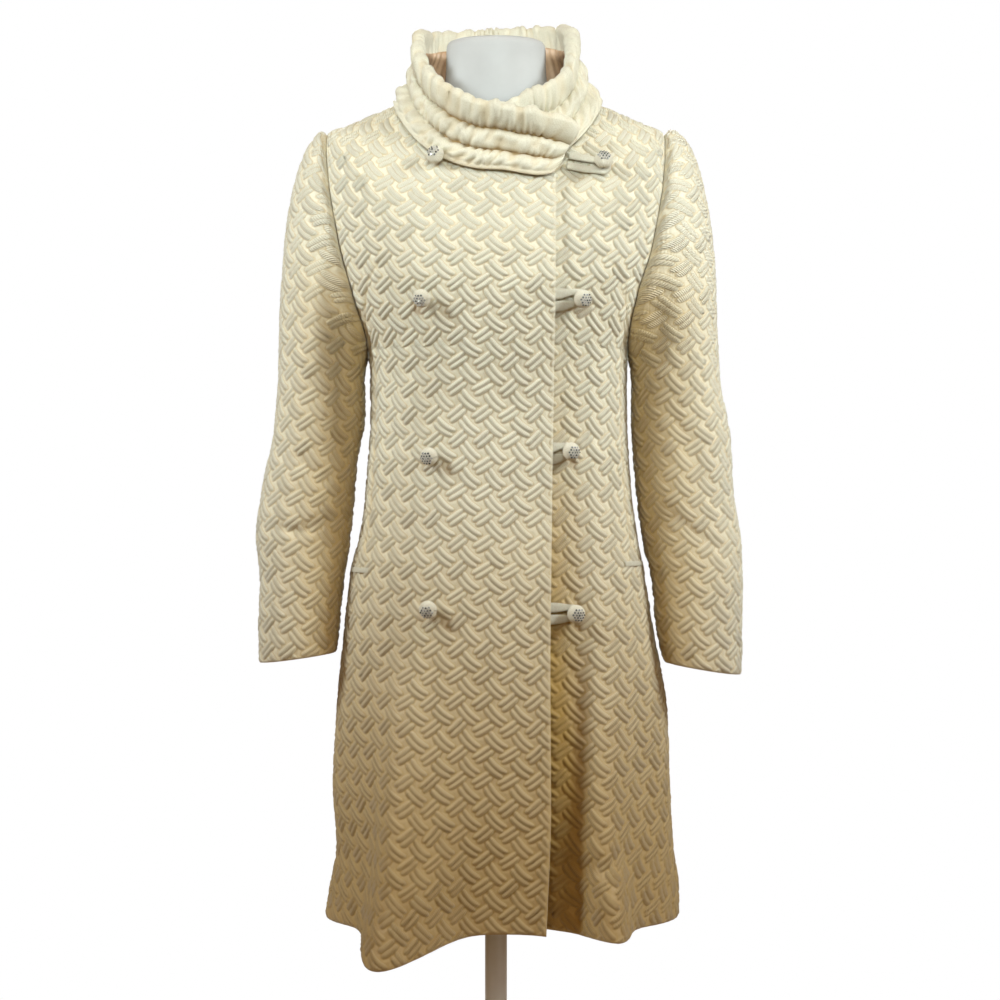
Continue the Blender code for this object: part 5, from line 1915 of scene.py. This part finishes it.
@dataclass
class DressForm:
    """The smooth white torso with a flat-topped neck, on a slim pole and a round base."""

    shell: Material
    metal: Material
    pole_radius: float = 0.012
    base_radius: float = 0.175
    base_height: float = 0.012
    base_edge: float = 0.004
    sides: int = 96
    torso_rings: int = 121
    rows: Table = Table(
        ("z", "half", "front_y", "back_y"),
        (
            (0.790, 0.096, -0.052, 0.058),
            (0.800, 0.112, -0.062, 0.070),
            (0.840, 0.124, -0.070, 0.080),
            (0.920, 0.120, -0.070, 0.078),
            (1.000, 0.106, -0.066, 0.068),
            (1.080, 0.116, -0.076, 0.072),
            (1.160, 0.132, -0.088, 0.080),
            (1.220, 0.140, -0.082, 0.082),
            (1.265, 0.144, -0.066, 0.076),
            (1.300, 0.138, -0.050, 0.062),
            (1.325, 0.112, -0.038, 0.050),
            (1.345, 0.078, -0.036, 0.046),
            (1.368, 0.061, -0.040, 0.048),
            (1.400, 0.0552, -0.042, 0.049),
            (1.426, 0.0545, -0.042, 0.049),
            (1.4325, 0.0520, -0.040, 0.047),
            (1.435, 0.0465, -0.035, 0.042),
        ),
    )

    def torso(self) -> bpy.types.Object:
        """Builds the torso and neck as one closed shell."""
        rows = len(self.rows.rows)
        at = np.interp(np.linspace(0, rows - 1, self.torso_rings), np.arange(rows), self.rows.column("z"))
        turn = np.arange(self.sides) * math.tau / self.sides
        half, fore, aft = (self.rows.read(name, at)[:, None] for name in ("half", "front_y", "back_y"))
        deep = np.where(np.cos(turn) > 0, fore, aft)
        rings = np.stack([half * np.sin(turn), deep * np.abs(np.cos(turn)), at[:, None] + 0 * turn], axis=-1)
        piece = link("form_torso", ring_mesh("form_torso", rings))
        settle(piece, self.shell, "form_shell", ["form_body"], None)
        return piece

    def turned(self, name: str, profile: Sequence[tuple[float, float]], node: str) -> bpy.types.Object:
        """A solid turned round +Z.

        Args:
            name: the piece's name.
            profile: its radius and height, from the top to the bottom, without the middle points.
            node: the CAD node it stands for.

        Returns:
            The piece.
        """
        turn = np.arange(self.sides) * math.tau / self.sides
        rings = [np.stack([r * np.cos(turn), r * np.sin(turn), h + 0 * turn], axis=-1) for r, h in profile]
        piece = link(name, ring_mesh(name, np.array(rings)))
        settle(piece, self.metal, "stand", [node], None)
        return piece

    def build(self) -> None:
        """Builds the torso, the pole and the base."""
        self.torso()
        top, foot = self.rows.rows[0][0] - SEAM_GAP, self.base_height + SEAM_GAP
        self.turned("stand_pole", [(self.pole_radius, top), (self.pole_radius, foot)], "form_pole")
        edge = []
        for degrees in (90, 68, 45, 22, 0):
            over = math.radians(degrees)
            edge.append((
                self.base_radius - self.base_edge * (1 - math.cos(over)),
                self.base_height - self.base_edge * (1 - math.sin(over)),
            ))
        edge += [(self.base_radius, 0.001), (self.base_radius - 0.001, 0.0)]
        self.turned("stand_base", edge, "form_base")


@dataclass(frozen=True)
class SoftLight:
    """One area light: where it stands, what it points at, its size, power, colour and spread."""

    name: str
    place: Point
    target: Point
    size: tuple[float, float]
    power: float
    colour: Colour = (1.0, 0.985, 0.96)
    spread: float = 180.0

    def build(self) -> None:
        """Adds the light to the scene."""
        lamp = bpy.data.lights.new(self.name, "AREA")
        lamp.shape = "RECTANGLE"
        lamp.size, lamp.size_y = self.size
        lamp.energy = self.power
        lamp.color = self.colour
        lamp.spread = math.radians(self.spread)
        made = bpy.data.objects.new(self.name, lamp)
        made.location = self.place
        aim = Vector(self.target) - Vector(self.place)
        made.rotation_euler = aim.to_track_quat("-Z", "Y").to_euler()
        bpy.context.scene.collection.objects.link(made)


@dataclass
class Studio:
    """A pale floor, a white surround, soft lights and the camera at the photograph's angle."""

    camera_place: Point = (0.0044, -2.6, 0.93)
    lens: float = 85.0
    sensor: float = 36.0
    world: Colour = (1.0, 0.60, 0.26)
    world_strength: float = 0.21
    lights: tuple[SoftLight, ...] = (
        SoftLight("key", (0.10, -1.8, 1.80), (0.04, -0.13, 1.50), (0.6, 0.4), 2.25, (0.78, 0.96, 1), 58),
        SoftLight("side_right", (-1.6, -0.8, 2.0), (-0.25, 0, 1.12), (0.5, 0.5), 2.8, (0.88, 0.97, 1), 52),
        SoftLight("side_left", (1.6, -0.8, 2.0), (0.25, 0, 1.08), (0.5, 0.5), 3.2, (0.88, 0.97, 1), 52),
        SoftLight("warm_fill", (0.25, -1.2, 2.8), (0, 0, 0.70), (1.2, 0.5), 4.2, (1.0, 0.52, 0.18)),
        SoftLight("back_key", (-0.25, 2.0, 2.0), (0, 0, 0.98), (0.7, 0.5), 4.6, (0.92, 0.97, 1), 62),
        SoftLight("stand_light", (0.8, -1.5, 0.45), (0, 0, 0.02), (0.4, 0.3), 0.4, (1, 0.98, 0.95), 26),
    )

    def sheet(self, name: str, corners: Sequence[Point], finish: Material) -> None:
        """Adds one flat stage sheet."""
        mesh = bpy.data.meshes.new(name)
        mesh.from_pydata(corners, [], [tuple(range(len(corners)))])
        made = link(name, mesh)
        mesh.materials.append(finish)
        made.visible_diffuse = False  # it looks bright and lights nothing

    def build(self) -> None:
        """Builds the stage, the lights and the camera."""
        scene = bpy.context.scene
        paper = Shell("floor_paper", (0.78, 0.78, 0.78), 0.75, glow=0.5).material()
        self.sheet("floor", [(-4, -3.2, 0), (4, -3.2, 0), (4, 1.7, 0), (-4, 1.7, 0)], paper)
        for light in self.lights:
            light.build()
        world = scene.world or bpy.data.worlds.new("studio")
        scene.world = world
        world.use_nodes = True
        nodes, links = world.node_tree.nodes, world.node_tree.links
        warm, white = nodes["Background"], nodes.new("ShaderNodeBackground")
        warm.inputs["Color"].default_value = (*self.world, 1)
        warm.inputs["Strength"].default_value = self.world_strength
        white.inputs["Color"].default_value = (1, 1, 1, 1)
        seen, either = nodes.new("ShaderNodeLightPath"), nodes.new("ShaderNodeMixShader")
        links.new(seen.outputs["Is Camera Ray"], either.inputs[0])
        links.new(warm.outputs[0], either.inputs[1])
        links.new(white.outputs[0], either.inputs[2])
        links.new(either.outputs[0], nodes["World Output"].inputs["Surface"])
        lens = bpy.data.cameras.new("camera")
        lens.lens, lens.sensor_width = self.lens, self.sensor
        camera = bpy.data.objects.new("camera", lens)
        camera.location = self.camera_place
        camera.rotation_euler = (math.pi / 2, 0, 0)
        scene.collection.objects.link(camera)
        scene.camera = camera
        scene.view_settings.view_transform = "Standard"


def main() -> None:
    """Builds the coat on its form, piece by piece."""
    logging.basicConfig(level=logging.INFO, format="%(name)s %(message)s")
    form, weave = CoatForm(), Weave()
    brocade = Brocade("coat_brocade", weave=weave).material()
    # The band's darker shade colour paints the shade in the collar's creases.
    band = Brocade(
        "band_brocade", (0.80, 0.77, 0.63), shade=(0.34, 0.21, 0.07), rib_pitch=0.0013, rib_depth=0.00015
    ).material()
    edging = Brocade("edging_cloth", rib_pitch=0.0010).material()
    covering = Brocade(
        "button_cloth", (0.86, 0.82, 0.68), (0.82, 0.75, 0.58), rib_pitch=0.0022, rib_depth=0.0006
    ).material()
    CoatPanels(form, weave, brocade).build()
    Sleeve(form, weave, brocade, Side.RIGHT, SLEEVE_RIGHT, CREASES_RIGHT, Cut(0.34, 0.62, 0.170)).build()
    Sleeve(form, weave, brocade, Side.LEFT, SLEEVE_LEFT, CREASES_LEFT, Cut(0.34, 0.63, 0.172)).build()
    CollarBand(form, band, Satin().material()).build()
    PocketEdges(form, edging).build()
    setting = Shell("stone_setting", (0.62, 0.60, 0.54), 0.25)
    buttons = Buttons(form, covering, Stone().material(), setting.material())
    buttons.build()
    Loops(buttons, edging).build()
    ThreadCarrier(form, edging).build()
    shell = Shell("form_white", (0.56, 0.56, 0.555), 0.55)
    metal = Shell("stand_white", (0.74, 0.74, 0.73), 0.35, coat=0.2)
    DressForm(shell.material(), metal.material()).build()
    Studio().build()


SLEEVE_NAMES = ("place", "under_x", "under_z", "over_x", "over_z", "front", "back", "middle_y")
SLEEVE_RIGHT = Table(SLEEVE_NAMES, (
    (0, 0.1420, 1.0930, 0.1855, 1.3310, 0.058, 0.062, 0.000),
    (1, 0.1435, 1.0850, 0.1935, 1.3345, 0.062, 0.065, 0.000),
    (2, 0.1445, 1.0780, 0.2035, 1.3240, 0.064, 0.066, 0.000),
    (3, 0.1450, 1.0710, 0.2130, 1.3060, 0.064, 0.066, 0.001),
    (4, 0.1450, 1.0640, 0.2210, 1.2820, 0.063, 0.065, 0.002),
    (5, 0.1450, 1.0570, 0.2275, 1.2520, 0.062, 0.063, 0.003),
    (6, 0.1448, 1.0490, 0.2325, 1.2160, 0.061, 0.061, 0.004),
    (7, 0.1445, 1.0390, 0.2360, 1.1750, 0.060, 0.059, 0.005),
    (8, 0.1443, 1.0270, 0.2388, 1.1250, 0.058, 0.057, 0.006),
    (9, 0.1455, 1.0110, 0.2400, 1.0680, 0.056, 0.055, 0.007),
    (10, 0.1520, 0.9780, 0.2450, 1.0060, 0.054, 0.053, 0.007),
    (11, 0.1560, 0.9350, 0.2580, 0.9420, 0.053, 0.052, 0.005),
    (12, 0.1600, 0.8900, 0.2640, 0.8900, 0.051, 0.050, 0.000),
    (13, 0.1665, 0.8420, 0.2590, 0.8430, 0.049, 0.047, -0.007),
    (14, 0.1705, 0.8000, 0.2595, 0.7960, 0.046, 0.045, -0.014),
    (15, 0.1738, 0.7640, 0.2590, 0.7530, 0.043, 0.043, -0.020),
))
SLEEVE_LEFT = Table(SLEEVE_NAMES, (
    (0, 0.1460, 1.0930, 0.1845, 1.3310, 0.058, 0.062, 0.000),
    (1, 0.1480, 1.0850, 0.1945, 1.3365, 0.062, 0.065, 0.000),
    (2, 0.1490, 1.0780, 0.2055, 1.3300, 0.064, 0.066, 0.000),
    (3, 0.1495, 1.0710, 0.2150, 1.3160, 0.064, 0.066, 0.001),
    (4, 0.1495, 1.0640, 0.2235, 1.2950, 0.063, 0.065, 0.002),
    (5, 0.1495, 1.0570, 0.2310, 1.2640, 0.062, 0.063, 0.003),
    (6, 0.1495, 1.0490, 0.2375, 1.2260, 0.061, 0.061, 0.004),
    (7, 0.1492, 1.0390, 0.2415, 1.1820, 0.060, 0.059, 0.005),
    (8, 0.1490, 1.0270, 0.2435, 1.1300, 0.058, 0.057, 0.006),
    (9, 0.1495, 1.0080, 0.2470, 1.0640, 0.056, 0.055, 0.007),
    (10, 0.1520, 0.9700, 0.2580, 1.0000, 0.054, 0.053, 0.007),
    (11, 0.1560, 0.9250, 0.2620, 0.9370, 0.053, 0.052, 0.005),
    (12, 0.1625, 0.8800, 0.2695, 0.8830, 0.051, 0.050, 0.000),
    (13, 0.1715, 0.8370, 0.2706, 0.8330, 0.049, 0.047, -0.007),
    (14, 0.1750, 0.7930, 0.2690, 0.7850, 0.046, 0.045, -0.014),
    (15, 0.1830, 0.7530, 0.2680, 0.7400, 0.043, 0.043, -0.020),
))
CREASES_RIGHT = (
    Crease(((-0.1857, 1.202), (-0.1963, 1.111), (-0.2027, 1.037)), 0.012, 0.0040),
    Crease(((-0.1686, 1.143), (-0.1718, 1.015), (-0.1760, 0.950)), 0.012, -0.0060),
    Crease(((-0.254, 0.903), (-0.211, 0.895), (-0.177, 0.915)), 0.006, -0.0035),
    Crease(((-0.225, 0.985), (-0.190, 0.955), (-0.166, 0.960)), 0.008, -0.0022),
    Crease(((-0.215, 1.230), (-0.205, 1.130)), 0.012, -0.0024, behind=True),
    Crease(((-0.250, 0.915), (-0.190, 0.900)), 0.008, -0.0024, behind=True),
    Crease(((-0.175, 1.120), (-0.182, 0.990)), 0.010, -0.0030, behind=True),
)
CREASES_LEFT = (
    Crease(((0.175, 1.058), (0.215, 0.975), (0.260, 0.887)), 0.010, -0.0032),
    Crease(((0.178, 1.150), (0.176, 1.060)), 0.011, -0.0040),
    Crease(((0.175, 0.930), (0.215, 0.893), (0.262, 0.868)), 0.007, -0.0026),
    Crease(((0.196, 1.190), (0.206, 1.090)), 0.011, 0.0024),
    Crease(((0.215, 1.235), (0.206, 1.130)), 0.012, -0.0022, behind=True),
    Crease(((0.256, 0.905), (0.196, 0.890)), 0.008, -0.0026, behind=True),
    Crease(((0.178, 1.110), (0.186, 0.985)), 0.010, -0.0028, behind=True),
)

if __name__ == "__main__":
    main()
